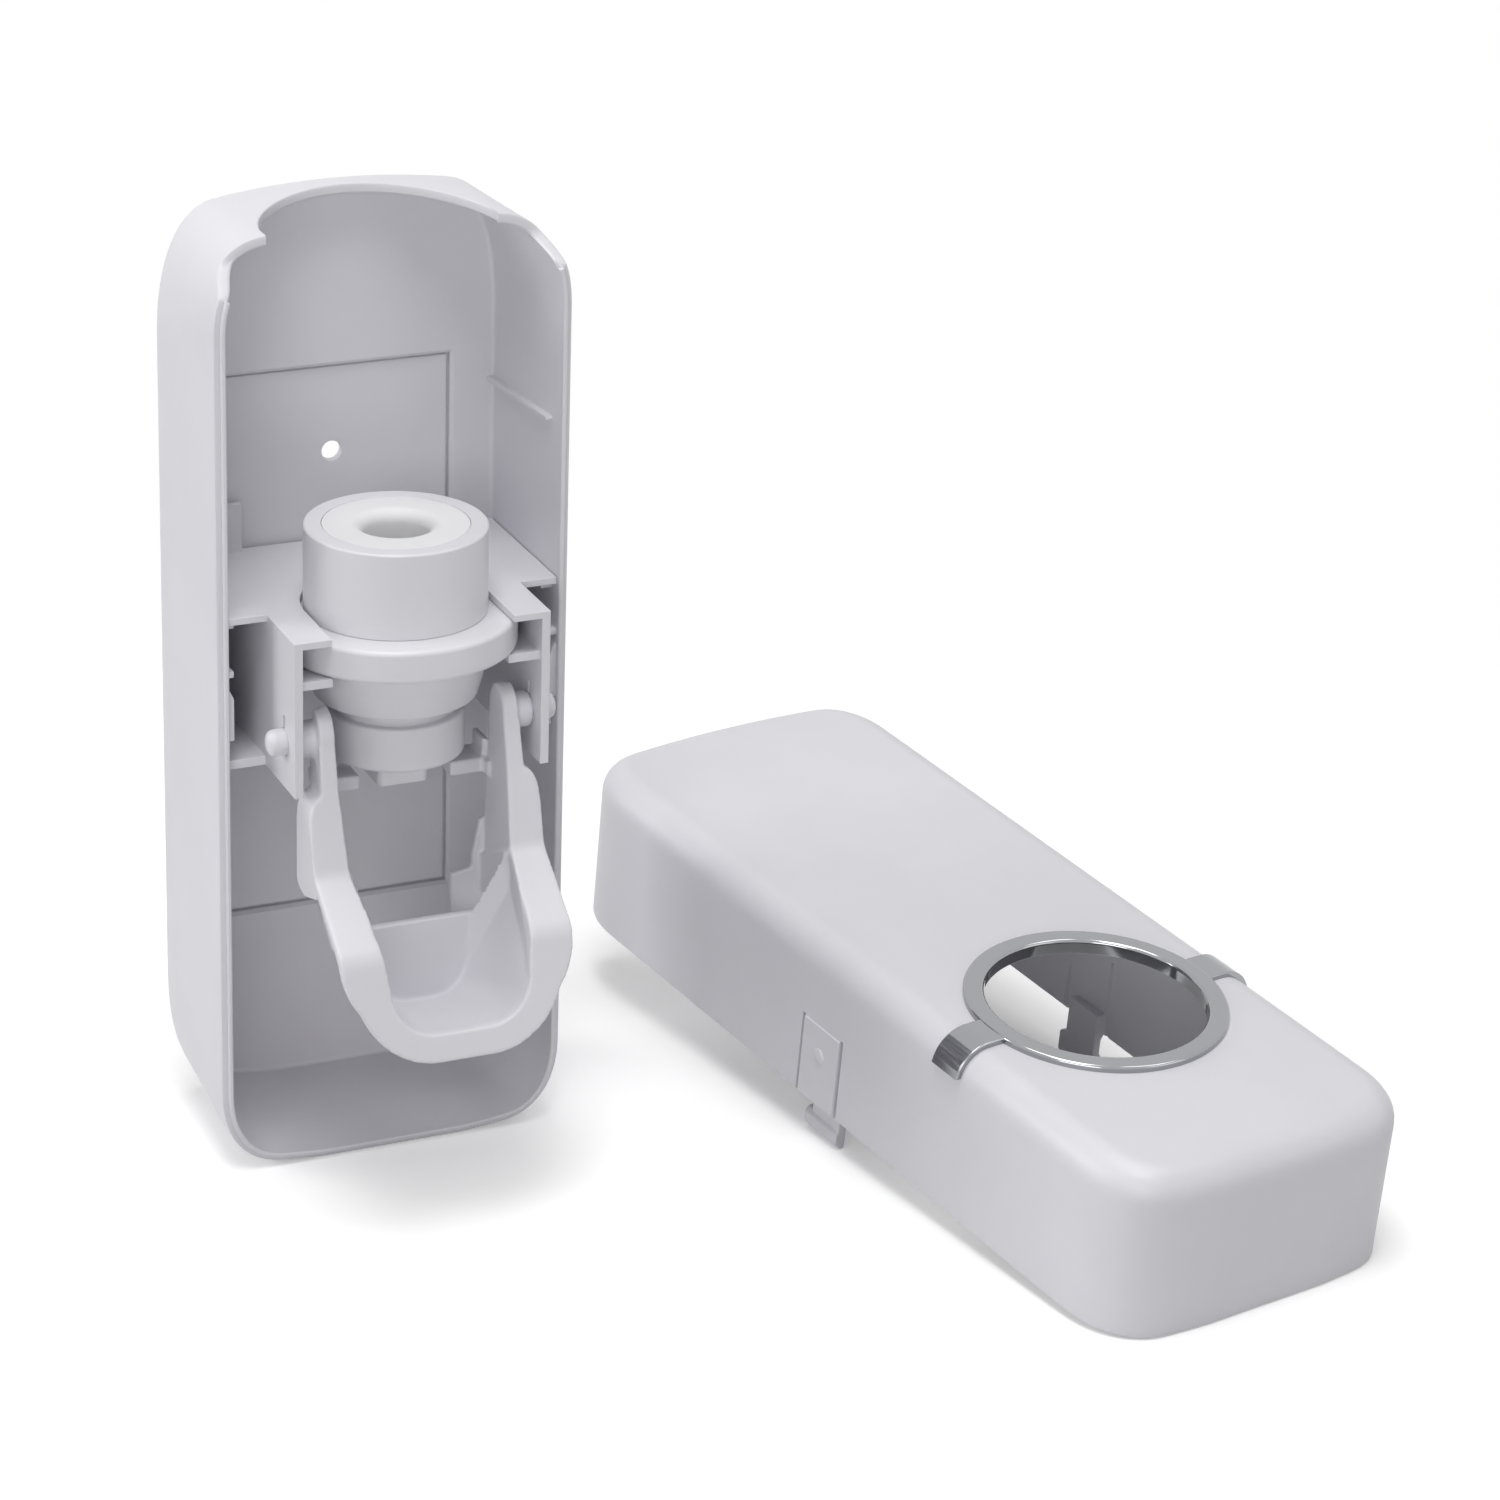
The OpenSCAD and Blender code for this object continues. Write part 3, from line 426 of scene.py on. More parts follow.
class Outline:
    """The points round a case half. Each has a place on the rim and one on the closed end.

    Each point is given by
    f, back_f: how far along the straight part of the top or the bottom it is, on the rim and on
        the closed end, from 0 in the middle to 1 at the corner
    ca, sa: how far round the corner it is, across and down
    g: how high up the side it is, from 0 to 1
    rim: how far out its rim lies, where the opening for the tube sets that
    dir_x, dir_out: the way from its rim to the material behind it
    """

    def __init__(self, rows):
        middle = [r["f"] == 0 and r["back_f"] == 0 for r in rows]
        left = [dict(r, sign=-1) for r, skip in zip(rows[::-1], middle[::-1]) if not skip]
        every = [dict(r, sign=1) for r in rows] + left
        for key in ("f", "back_f", "ca", "sa", "g", "sign", "rim", "dir_x", "dir_out"):
            setattr(self, key, np.array([r[key] for r in every], float))
        self.fixed = ~np.isnan(self.rim)

    def point(self, f, inset, draw, shift=0.0):
        """(x, z) of each point at an inset and a draw."""
        x = CORNER_X * f + shift + (CORNER_W - inset) * self.ca
        crown = END_CROWN + CROWN_DRAW * draw
        high = CORNER_H + CORNER_DRAW * draw - inset
        drop = high * self.sa + crown * (2 * x / BODY_W) ** 2 + inset
        top, low = BODY_H - drop, np.maximum(drop - FOOT_CUT, inset)
        return x * self.sign, self.g * top + (1 - self.g) * low


EDGE = 0.35  # the soft edge along the rim
LIP_INSET = 1.4  # how far in from the outside the height of the rim's step is taken
HOUSING_STEP, COVER_STEP = (SETBACK_Z, SETBACK_RUN), (BODY_H - 4.2, 2.4)
OPEN_STEPS, CORNER_STEPS, SIDE_STEPS, BOTTOM_STEPS, DEEP_STEPS = 26, 28, 72, 20, 26
SPREAD = 1.6  # how soon the points behind the opening spread over the whole top
STEP_WIDTH = 0.15  # degrees either side of where the lip ends


def case_outline(opening, straights, lip_step):
    """The right half's points from the top's middle to the bottom's middle.

    opening is the opening's middle and the way it faces, straights are further points out along
    its straight side, and lip_step is the corner's angle at which the rim starts to step back.
    """
    rows = []

    def add(**given):
        row = dict(f=1.0, back_f=1.0, ca=0.0, sa=0.0, g=1.0, rim=math.nan, dir_x=0.0, dir_out=1.0)
        row.update(given)
        rows.append(row)

    def corner(angle, **given):
        c, s = math.cos(math.radians(angle)), math.sin(math.radians(angle))
        across = max(c, 0) ** (2 / CORNER_N) if angle < 90 else 0.0
        add(ca=across, sa=1 - s ** (2 / CORNER_N), **given)

    total = OPEN_STEPS + len(straights) + 1
    for i in range(OPEN_STEPS + 1):
        a = math.radians(90 * i / OPEN_STEPS)
        add(
            f=math.sin(a),
            back_f=i / total,
            rim=opening[0] + opening[1] * OPEN_R * math.cos(a),
            dir_x=math.sin(a),
            dir_out=math.cos(a),
        )
    for i, out in enumerate(straights):
        add(back_f=(OPEN_STEPS + 1 + i) / total, rim=out, dir_x=1.0, dir_out=0.0)
    angles = [90 - 90 * i / CORNER_STEPS for i in range(CORNER_STEPS + 1)]
    angles += [lip_step - STEP_WIDTH, lip_step + STEP_WIDTH]
    for a in sorted(set(angles), reverse=True):
        corner(a)
    for i in range(1, SIDE_STEPS):
        add(ca=1.0, sa=1.0, g=1 - i / SIDE_STEPS)
    for i in range(CORNER_STEPS + 1):
        corner(90 * i / CORNER_STEPS, g=0.0)
    for i in range(BOTTOM_STEPS - 1, -1, -1):
        add(f=i / BOTTOM_STEPS, back_f=i / BOTTOM_STEPS, g=0.0)
    return Outline(rows)


def setback(z, start, run):
    """How far the rim steps back at a height, over a run that begins at a start."""
    t = np.clip((z - start) / run, 0, 1)
    return SETBACK * (1 - np.cos(np.pi * t)) / 2


def lip_step_angle(inset, start):
    """The corner angle at which the outline passes the height where the rim starts to step back."""
    tenths = 10
    for i in range(90 * tenths):
        a = math.radians(i / tenths)
        x = CORNER_X + (CORNER_W - inset) * math.cos(a) ** (2 / CORNER_N)
        drop = (CORNER_H - inset) * (1 - math.sin(a) ** (2 / CORNER_N))
        drop += END_CROWN * (2 * x / BODY_W) ** 2
        if BODY_H - drop - inset >= start:
            return i / tenths
    return 45.0


def build_half(shape, gap, side, sections, outer_end, inner_end, outer_r, inner_r, draws, step):
    """A case half as the rows of one closed skin: outside, rim and inside.

    side is -1 where the closed end is at the wall and 1 where it is at the face. sections are
    (inset, depth behind the rim) where there is no lip, and the same where there is one. draws
    says that the end is drawn in towards the wall, and step where the rim steps back.
    """

    def draw_at(out, inner):
        if not draws:
            return np.zeros_like(out)
        end = inner_end if inner else outer_end + outer_r
        return np.clip((SETBACK_OUT - out) / (SETBACK_OUT - end), 0, 1)

    def rim_at(inset):
        _, z = shape.point(shape.f, inset, 0.0)
        plain = HOUSING_D + gap - setback(z, *step)
        return np.where(shape.fixed, shape.rim, plain)

    lip = np.where(shape.fixed | (rim_at(LIP_INSET) < HOUSING_D + gap - 1e-6), 0.0, 1.0)

    def at(inset, depth):
        """A row near the rim, where depth is how far it lies in the material behind the rim."""
        out = rim_at(inset) + side * depth * shape.dir_out
        x, z = shape.point(shape.f, inset, draw_at(out, False), depth * shape.dir_x)
        return np.stack([x, out, z], 1)

    def down(inset, depth, end, inner, count):
        """Rows from just behind the rim to the start of the closed end's round edge."""
        rows = []
        start = rim_at(inset) + side * depth * shape.dir_out
        for j in range(count + 1):
            w = j / count
            out = start + (end - start) * w
            f = shape.f + (shape.back_f - shape.f) * min(1, SPREAD * w)
            x, z = shape.point(f, inset, draw_at(out, inner), depth * shape.dir_x * (1 - w))
            rows.append(np.stack([x, out, z], 1))
        return rows

    def edge(inset, start, radius, count):
        """Rows round the closed end's edge."""
        rows = []
        for j in range(1, count + 1):
            a = math.radians(90 * j / count)
            out = start + side * radius * math.sin(a) + 0 * lip
            draw = 1.0 if draws else 0.0
            x, z = shape.point(shape.back_f, inset + radius * (1 - math.cos(a)), draw)
            rows.append(np.stack([x, out, z], 1))
        return rows

    outer = down(0.0, sections[0][1], outer_end - side * outer_r, False, DEEP_STEPS)
    outer += edge(0.0, outer_end - side * outer_r, outer_r, 8)
    middle = []
    for inset, depth, lip_inset, lip_depth in sections[1:-1]:
        middle.append(at(inset + lip * (lip_inset - inset), depth + lip * (lip_depth - depth)))
    last = sections[-1]
    last_depth = last[1] + lip * (last[3] - last[1])
    inner = down(WALL, last_depth, inner_end - side * inner_r, True, DEEP_STEPS)
    inner += edge(WALL, inner_end - side * inner_r, inner_r, 6)
    return outer, middle, inner


def on_rectangle(row, half, low, high, out):
    """Each point of a row moved to a rectangle along a ray from the rectangle's middle."""
    centre = (low + high) / 2
    x, z = row[:, 0], row[:, 2] - centre
    share = np.maximum(np.abs(x) / half, np.abs(z) / ((high - low) / 2))
    found = np.stack([x / share, np.full(len(x), out), z / share + centre], 1)
    for sx in (-1, 1):
        for cz in (low, high):
            near = np.argmin(np.hypot(found[:, 0] - sx * half, found[:, 2] - cz))
            found[near] = (sx * half, out, cz)
    return found


def on_circle(row, radius, centre, out):
    """Each point of a row moved to a circle along a ray from the circle's middle."""
    x, z = row[:, 0], row[:, 2] - centre
    share = radius / np.hypot(x, z)
    return np.stack([x * share, np.full(len(x), out), z * share + centre], 1)


# Rear half
housing_shape = case_outline((OPEN_OUT, -1), [], lip_step_angle(LIP_INSET, HOUSING_STEP[0]))
housing_sections = [
    (0, EDGE, 0, EDGE),
    (0.1, 0.1, 0.1, 0.1),
    (EDGE, 0, EDGE, 0),
    (0.9, 0, 1.0, 0),
    (1.05, 0, 1.0, -0.8),
    (1.2, 0, 1.2, -LIP_H),
    (1.45, 0, 1.6, -LIP_H),
    (WALL, EDGE, WALL, -0.8),
]
outer, middle, inner = build_half(
    housing_shape,
    0.0,
    -1,
    housing_sections,
    0.0,
    BACK_WALL,
    BACK_EDGE_R,
    INNER_EDGE_R,
    True,
    HOUSING_STEP,
)
pocket = (WINDOW_HALF + POCKET_EDGE, WINDOW_LOW - POCKET_EDGE, WINDOW_HIGH + POCKET_EDGE)
window = (WINDOW_HALF, WINDOW_LOW, WINDOW_HIGH)
bevel = 0.6
bevelled = (WINDOW_HALF + bevel, WINDOW_LOW - bevel, WINDOW_HIGH + bevel)
rows = [on_rectangle(outer[-1], *pocket, 0.0)]
rows += outer[::-1] + middle + inner
rows += [
    on_rectangle(inner[-1], *bevelled, BACK_WALL),
    on_rectangle(inner[-1], *window, BACK_WALL - 0.5),
    on_rectangle(inner[-1], *window, POCKET_T),
    on_rectangle(inner[-1], *pocket, POCKET_T),
]
housing = loops_to_piece("case_rear_half", rows)


def wall_features():
    """The rail, the long rib, the catch and its nub inside the right wall."""
    root, behind, proud = INNER_HALF + 0.6, BACK_WALL - 0.3, INNER_HALF - 1.2
    rail_top, rail_h, rail_front = SHELF_Z - SHELF_T, 1.6, HOUSING_D - 2.5
    rail = block(INNER_HALF - 2, root, behind, rail_front, rail_top - rail_h, rail_top)
    rib_z, rib_rise, rib_h, rib_front_h = SHELF_Z + 25, 1.9, 1.1, 0.7
    rib_front = (HOUSING_D - 3.6, rib_z + rib_rise)
    rib_side = [(behind, rib_z), rib_front]
    rib_side += [(rib_front[0], rib_front[1] + rib_front_h), (behind, rib_z + rib_h)]
    rib = prism("rib", rib_side, proud, root, "x")
    front, back, nub_back = HOUSING_D - 0.2, HOUSING_D - 4.1, HOUSING_D - 2.2
    catch_low, catch_bend, catch_top = TONGUE_Z - 4.5, TONGUE_Z + 3, TONGUE_Z + 5.4
    catch_end = [(root, catch_low), (proud, catch_low), (proud, catch_bend)]
    catch_end += [(INNER_HALF, catch_top), (root, catch_top)]
    catch = prism("catch", catch_end, back, front, "out")
    nub_z, nub_h = TONGUE_Z + 6.8, 1.2
    nub = block(proud, root, nub_back, front, nub_z, nub_z + nub_h)
    return [soften(rail, 0.2)] + [soften(part, 0.25) for part in (rib, catch, nub)]


features = wall_features()
union(housing, *(features + [mirrored_copy(f) for f in features]))
smooth_shading(housing)
dress(housing, "rear_housing")

# Front cover, built as if fitted and then laid down
LIP_START = lip_step_angle(LIP_INSET, COVER_STEP[0])
cover_shape = case_outline((COVER_OPEN_OUT, 1), [33.5, 31.0, 28.8], LIP_START)
cover_sections = [
    (0, EDGE, 0, EDGE),
    (0.1, 0.1, 0.1, 0.1),
    (EDGE, 0, EDGE, 0),
    (0.8, 0, 0.75, 0),
    (1.1, 0, 0.85, 0.1),
    (1.3, 0, 0.85, 1.0),
    (1.5, 0, WALL - 0.1, 1.0),
    (WALL, EDGE, WALL, 1.15),
]
outer, middle, inner = build_half(
    cover_shape,
    JOINT_GAP,
    1,
    cover_sections,
    FACE_OUT,
    FACE_OUT - WALL,
    FACE_EDGE_R,
    FACE_EDGE_R - WALL,
    False,
    COVER_STEP,
)
hole = RING_IN_R + 0.8
rows = [on_circle(outer[-1], hole, RING_Z, FACE_OUT)]
rows += outer[::-1] + middle + inner
rows += [on_circle(inner[-1], hole, RING_Z, FACE_OUT - WALL)]
cover = loops_to_piece("case_front_cover", rows)

tongue_low, tongue_high = TONGUE_Z - TONGUE_W / 2, TONGUE_Z + TONGUE_W / 2
slits = [
    block(side * 40, side * 20, HOUSING_D - 1, HOUSING_D + SLIT_H, z, z + SLIT_W)
    for side in (-1, 1)
    for z in (tongue_low - SLIT_W, tongue_high)
]
minus(cover, *slits)


def tongue_face():
    """The slightly raised face of the right tongue, with its small bump."""
    half, proud, sunk, gap = BODY_W / 2, 0.35, 0.5, 0.05
    low, high = HOUSING_D + 0.5, HOUSING_D + SLIT_H - 0.3
    face = block(half - sunk, half + proud, low, high, tongue_low + gap, tongue_high - gap)
    bump, middle, bump_r, bump_h, rings, around = [], HOUSING_D + 10.2, 1.5, 0.45, 6, 32
    for i in range(rings + 1):
        a = math.radians(90 * i / rings)
        ring_r, rise = bump_r * math.cos(a) + 0.01, bump_h * math.sin(a)
        for j in range(around):
            b = 2 * math.pi * j / around
            for x in (half + 0.3 + rise, half - 0.2):
                bump.append((x, middle + ring_r * math.cos(b), TONGUE_Z + ring_r * math.sin(b)))
    return union(soften(face, 0.25), hull("bump", bump))


def cover_hook():
    """The hook behind the right tongue: a narrower neck and a foot with a rounded nose."""
    inner_x, neck_x, nose_x = INNER_HALF - 1.6, INNER_HALF + 0.1, INNER_HALF + 0.55
    root_x, root_low, root_top = INNER_HALF + 0.9, HOUSING_D + 1, HOUSING_D + 5
    tip, foot_top = HOUSING_D - HOOK_H, HOUSING_D - HOOK_H + 4.2
    neck_high, foot_high = tongue_high - 2.4, tongue_high - 0.7
    neck = [(root_x, root_top), (inner_x, root_top), (inner_x, tip + 1), (neck_x, tip + 1)]
    neck += [(neck_x, HOUSING_D - 0.4, 0.5), (root_x, root_low)]
    foot = [(inner_x, foot_top), (inner_x, tip, 0.5), (nose_x - 1.2, tip, 0.5)]
    foot += [(nose_x, tip + 1.3, 0.5), (nose_x, tip + 3.2, 0.6), (neck_x - 0.3, foot_top)]
    return union(
        soften(prism("neck", rounded(neck, 4), tongue_low, neck_high, "z"), 0.25, angle=50),
        soften(prism("foot", rounded(foot, 4), tongue_low, foot_high, "z"), 0.4, angle=50),
    )


hook = cover_hook()
face = tongue_face()
union(cover, hook, mirrored_copy(hook), face, mirrored_copy(face))
smooth_shading(cover)

lying = (
    Matrix.Translation((COVER_X * MM, -COVER_FRONT * MM, 0))
    @ Matrix.Rotation(math.radians(COVER_TURN), 4, "Z")
    @ Matrix.Rotation(math.radians(COVER_TILT - 90), 4, "X")
    @ Matrix.Translation((0, BACK_Y * MM, 0))
)
cover.data.transform(lying)
dress(cover, "front_cover")


# The trim ring with its two ears


def trim_profile():
    """The ring's section: a flat band with a short collar that stands in the cover's hole."""
    return rounded(
        [
            (RING_IN_R, -1.5, 0.15),
            (RING_IN_R + 0.7, -1.5, 0.1),
            (RING_IN_R + 0.7, 0),
            (RING_OUT_R, 0),
            (RING_OUT_R, RING_T, 0.55),
            (RING_IN_R, RING_T, 0.7),
        ],
        8,
    )


def ring_piece():
    rows, around, profile = [], 160, trim_profile()
    for i in range(around):
        c, s = math.cos(2 * math.pi * i / around), math.sin(2 * math.pi * i / around)
        rows.append([(r * c, FACE_OUT + h, RING_Z + r * s) for r, h in profile])
    return loops_to_piece("trim_ring_chrome", rows)


def ear_piece():
    """A band that follows the cover's face, its round edge and its side."""
    lap, reach, steps = 1.2, 4.6, 14
    round_x, round_out = BODY_W / 2 - FACE_EDGE_R, FACE_OUT - FACE_EDGE_R
    path = [(RING_OUT_R - lap, FACE_OUT, 0.0, 1.0)]
    for i in range(steps + 1):
        c, s = math.cos(math.radians(90 * i / steps)), math.sin(math.radians(90 * i / steps))
        path.append((round_x + FACE_EDGE_R * s, round_out + FACE_EDGE_R * c, s, c))
    path.append((BODY_W / 2, FACE_OUT - reach, 1.0, 0.0))
    path = [p for p in path if p[1] >= FACE_OUT - reach]
    gap, thick, round_r, wide = 0.04, 1.0, 0.3, 3.5
    corners = [(-wide, gap), (wide, gap), (wide, thick, round_r), (-wide, thick, round_r)]
    section = rounded(corners, 4)
    count = len(section)
    verts = [(x + nx * t, out + no * t, RING_Z + w) for x, out, nx, no in path for w, t in section]
    faces = [tuple(range(count)), tuple(range(len(verts) - count, len(verts)))]
    for j in range(len(path) - 1):
        a, b = j * count, (j + 1) * count
        faces += [(a + k, a + (k + 1) % count, b + (k + 1) % count, b + k) for k in range(count)]
    return new_piece("ear", verts, faces)


ring = ring_piece()
ear = ear_piece()
union(ring, ear, mirrored_copy(ear))
smooth_shading(ring, 40)
ring.data.transform(lying)
dress(ring, "trim_ring")

# ---------------------------------------------------------------- the pump

SPIGOT_R, INLET_R, CYLINDER_R = 10.0, 3.6, 12.0
CAP_R, CAP_BORE_R, CAP_WEB_LOW, CAP_WEB_TOP = 15.4, 12.4, FLANGE_TOP + 4.2, FLANGE_TOP + 5.4
SEAT_R, SEAT_HOLE_R, SEAT_HOLE_LOW, SEAT_LOW = 12.34, 5.6, CAP_TOP - 8, CAP_TOP - 10
BODY_WEB_LOW, BODY_WEB_TOP, BODY_HOLE_R = FLANGE_TOP - 3.8, FLANGE_TOP - 0.8, 1.0
SPIGOT_TOP = FLANGE_TOP + 3.5
FLANGE_R, BARREL_R, BARREL_LOW_R, BARREL_CURVE_H = 20.4, 14.9, 13.8, 4.0
CUP_R, CUP_BORE_R, CUP_FLOOR_T, OUTLET_R = 11.7, 10.0, 1.5, 4.4
HEAD_R, HEAD_H, HEAD_REST = 11.94, 5.8, 4.6
HEAD_TOP = BODY_WEB_LOW - HEAD_REST
HEAD_LOW = HEAD_TOP - HEAD_H
GROOVE_R, GROOVE_LOW, GROOVE_TOP = 10.94, HEAD_TOP - 4, HEAD_TOP - 2
NECK_R, NECK_END_R, NECK_END_LOW, PISTON_BORE_R = 10.3, 9.95, CUP_TOP - 3.6, 2.2
SPRING_R, SPRING_SEAT, SPRING_TOP = 7.8, 0.5, BODY_WEB_LOW

cap = lathe(
    "pump_cap_cup",
    rounded(
        [
            (SPIGOT_R + 0.05, FLANGE_TOP),
            (CAP_R, FLANGE_TOP, 0.25),
            (CAP_R, CAP_TOP, 0.45),
            (CAP_BORE_R, CAP_TOP, 0.1),
            (CAP_BORE_R, CAP_WEB_TOP),
            (INLET_R, CAP_WEB_TOP),
            (INLET_R, CAP_WEB_LOW),
            (SPIGOT_R + 0.05, CAP_WEB_LOW),
        ]
    ),
)
dress(smooth_shading(cap), "pump_cap")

seat = lathe(
    "soft_tube_seat",
    rounded(
        [
            (INLET_R, CAP_WEB_TOP),
            (SEAT_R, CAP_WEB_TOP),
            (SEAT_R, CAP_TOP, 0.2),
            (SEAT_HOLE_R, CAP_TOP, 2.2),
            (SEAT_HOLE_R, SEAT_HOLE_LOW, 0.3),
            (INLET_R, SEAT_LOW),
        ]
    ),
)
dress(smooth_shading(seat), "tube_seat")

body = lathe(
    "pump_flange_and_barrel",
    rounded(
        [
            (BODY_HOLE_R, BODY_WEB_LOW),
            (CYLINDER_R, BODY_WEB_LOW),
            (CYLINDER_R, BARREL_LOW, 0.3),
            (BARREL_LOW_R, BARREL_LOW, 0.5),
            (BARREL_R, BARREL_LOW + BARREL_CURVE_H, 5),
            (BARREL_R, FLANGE_LOW, 0.4),
            (FLANGE_R, FLANGE_LOW, 0.9),
            (FLANGE_R, FLANGE_TOP, 0.9),
            (SPIGOT_R, FLANGE_TOP),
            (SPIGOT_R, SPIGOT_TOP, 0.2),
            (INLET_R, SPIGOT_TOP),
            (INLET_R, BODY_WEB_TOP),
            (BODY_HOLE_R, BODY_WEB_TOP),
        ]
    ),
)
dress(smooth_shading(body), "pump_body")

cup = lathe(
    "pump_moving_cup",
    rounded(
        [
            (OUTLET_R, CUP_LOW),
            (CUP_R, CUP_LOW, 0.9),
            (CUP_R, CUP_TOP, 0.5),
            (CUP_BORE_R, CUP_TOP),
            (CUP_BORE_R, CUP_LOW + CUP_FLOOR_T),
            (OUTLET_R, CUP_LOW + CUP_FLOOR_T),
        ]
    ),
)
dress(smooth_shading(cup), "pump_cup")


def circle_points(radius, steps=48):
    turns = [2 * math.pi * i / steps for i in range(steps)]
    return [(radius * math.cos(a), PUMP_OUT + radius * math.sin(a)) for a in turns]


def square_nozzle():
    """A tube inside the cup and a square block with soft corners below it, with a flared bore.

    A turned form has a small hole along its axis, so the middles are filled by the core.
    """
    half, low, tube_r, tube_top = 4.5, NOZZLE_LOW - 0.6, 4.35, CUP_TOP - 4.6
    bore_r, mouth_r, mouth_h, axis_r, core_r = 2.2, 3.1, 1.6, 0.4, 1.0
    signs = ((-1, -1), (1, -1), (1, 1), (-1, 1))
    corners = rounded([(sx * half, PUMP_OUT + so * half, 1.2) for sx, so in signs])
    outside = soften(prism("outlet_nozzle", corners, low, CUP_LOW, "z"), 0.35, angle=50)
    tube = [(0.5, low + 2), (tube_r, low + 2), (tube_r, tube_top), (0.5, tube_top)]
    bore = [(axis_r, low - 1), (mouth_r, low - 1), (bore_r, low + mouth_h)]
    bore += [(bore_r, CUP_TOP), (axis_r, CUP_TOP)]
    union(outside, lathe("tube", tube))
    core = prism("core", circle_points(core_r), low - 0.5, CUP_TOP - 4, "z")
    return minus(outside, union(lathe("bore", bore), core))


nozzle = square_nozzle()
dress(smooth_shading(nozzle), "nozzle")

SPRING_IN_R, SPRING_OUT_R = 6.45, 9.15  # the ring-shaped pocket for the spring in the piston
piston = lathe(
    "piston_with_neck",
    rounded(
        [
            (PISTON_BORE_R, NECK_END_LOW),
            (NECK_END_R, NECK_END_LOW),
            (NECK_END_R, CUP_TOP),
            (NECK_R, CUP_TOP),
            (NECK_R, HEAD_LOW),
            (HEAD_R, HEAD_LOW, 0.2),
            (HEAD_R, GROOVE_LOW),
            (GROOVE_R, GROOVE_LOW),
            (GROOVE_R, GROOVE_TOP),
            (HEAD_R, GROOVE_TOP),
            (HEAD_R, HEAD_TOP, 0.2),
            (SPRING_OUT_R, HEAD_TOP, 0.2),
            (SPRING_OUT_R, HEAD_LOW + SPRING_SEAT),
            (SPRING_IN_R, HEAD_LOW + SPRING_SEAT),
            (SPRING_IN_R, HEAD_TOP, 0.2),
            (PISTON_BORE_R, HEAD_TOP, 0.2),
        ]
    ),
)
dress(smooth_shading(piston), "piston")


def coil_spring():
    """The return spring: the source's turns and rise, with a rounder wire."""
    wire, turns, around, sides = 0.45, 6, 40, 12
    low = HEAD_LOW + SPRING_SEAT
    rise = (SPRING_TOP - low - 2 * wire) / turns
    verts = []
    for i in range(turns * around + 1):
        a = 2 * math.pi * i / around
        for j in range(sides):
            b = 2 * math.pi * j / sides
            r = SPRING_R + wire * math.cos(b)
            z = low + wire + rise * i / around + wire * math.sin(b)
            verts.append((r * math.cos(a), PUMP_OUT - r * math.sin(a), z))
    faces = [tuple(range(sides)), tuple(range(len(verts) - sides, len(verts)))]
    for i in range(turns * around):
        a, b = i * sides, (i + 1) * sides
        faces += [(a + j, a + (j + 1) % sides, b + (j + 1) % sides, b + j) for j in range(sides)]
    return new_piece("return_spring", verts, faces)


spring = dress(smooth_shading(coil_spring(), 50, weighted=False), "pump_spring")
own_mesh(spring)

# ---------------------------------------------------------------- the carrier and the plate


def softened_node(node, name, width):
    """A CAD node's own form with its edges rounded."""
    piece = bpy.data.objects.new(name, frame["nodes"][node].data.copy())
    WORK.objects.link(piece)
    return dress(smooth_shading(soften(piece, width)), node)


softened_node("pump_carrier", "carrier_shelf_and_plates", 0.22)
softened_node("wall_plate", "back_plate", 0.4)
softened_node("wall_pads", "adhesive_pads", 0.2)

# ---------------------------------------------------------------- the lever

# Points of its side view are (out, z)
LEVER_T, BAND_T = 1.6, 1.8
LIP_OUT, FOOT_Z = 64.8, 34.0
LEVER_HALF, ARM_HALF, BEND_HALF, FOOT_HALF = 20.4, 14.8, 14.2, 18.3
BAND_HALF, BAND_WIDER, BAND_FALL = ARM_HALF + 3.2, LEVER_HALF - ARM_HALF - 3.2, 5
SIDE_R = 14
HUB_R, HUB_REACH, HUB_BACK = 5.3, 4.1, 3.1
BOSS_R, BOSS_END, STUB_R, STUB_END, STUB_DOME = 3.1, 20.55, 2.3, 25.5, 1.1
KNEE = (PIVOT_OUT + 6, PIVOT_Z - 8.3)
BEND = (PIVOT_OUT + 9.3, PIVOT_Z - 21.1)
LIP_TURN = (LIP_OUT, FOOT_Z + 15.5)
BAND_LEAN = 0.271  # how far out the band goes for each unit down
BAND_TOP = (LIP_OUT - 0.87, FOOT_Z + 18.71)
ARM_BACK, ARM_LOW = PIVOT_OUT - HUB_BACK, BEND[1] - 7
U_R, U_HALF, U_FLOOR = 7.75, 12.15, FOOT_Z + 4.75
STRIP_TOP, STRIP_HALF = PIVOT_Z - 16.3, 10
PUSH_OUT, PUSH_TOP, PUSH_HALF, PUSH_LOW, PUSH_R = 46.5, 49.4, 8.2, FOOT_Z + 0.6, 6
LIFT_GAP, LIFT_RIB_H, LIFT_H = 0.3, 1.75, 2.7
LIFT_TOP = CUP_LOW - LIFT_GAP - LIFT_RIB_H
VOXEL, RELAX_STEPS = 0.3, 7  # how fine the lever is remeshed, and how much its edges soften


def arc(cx, cz, r, start, end, steps=24):
    points = []
    for i in range(steps + 1):
        a = math.radians(start + (end - start) * i / steps)
        points.append((cx + r * math.cos(a), cz + r * math.sin(a)))
    return points


def both(pts):
    """An outline's right half, from top to bottom, and its mirror image back up."""
    return list(pts) + [(-x, z) for x, z in reversed(pts)]


def hub(reach, t, start, end, steps=20):
    """An arc round the pivot, t within the hub's edge."""
    out = []
    for i in range(steps + 1):
        a = math.radians(start + (end - start) * i / steps)
        out.append((PIVOT_OUT + (reach - t) * math.cos(a), PIVOT_Z + (HUB_R - t) * math.sin(a)))
    return out


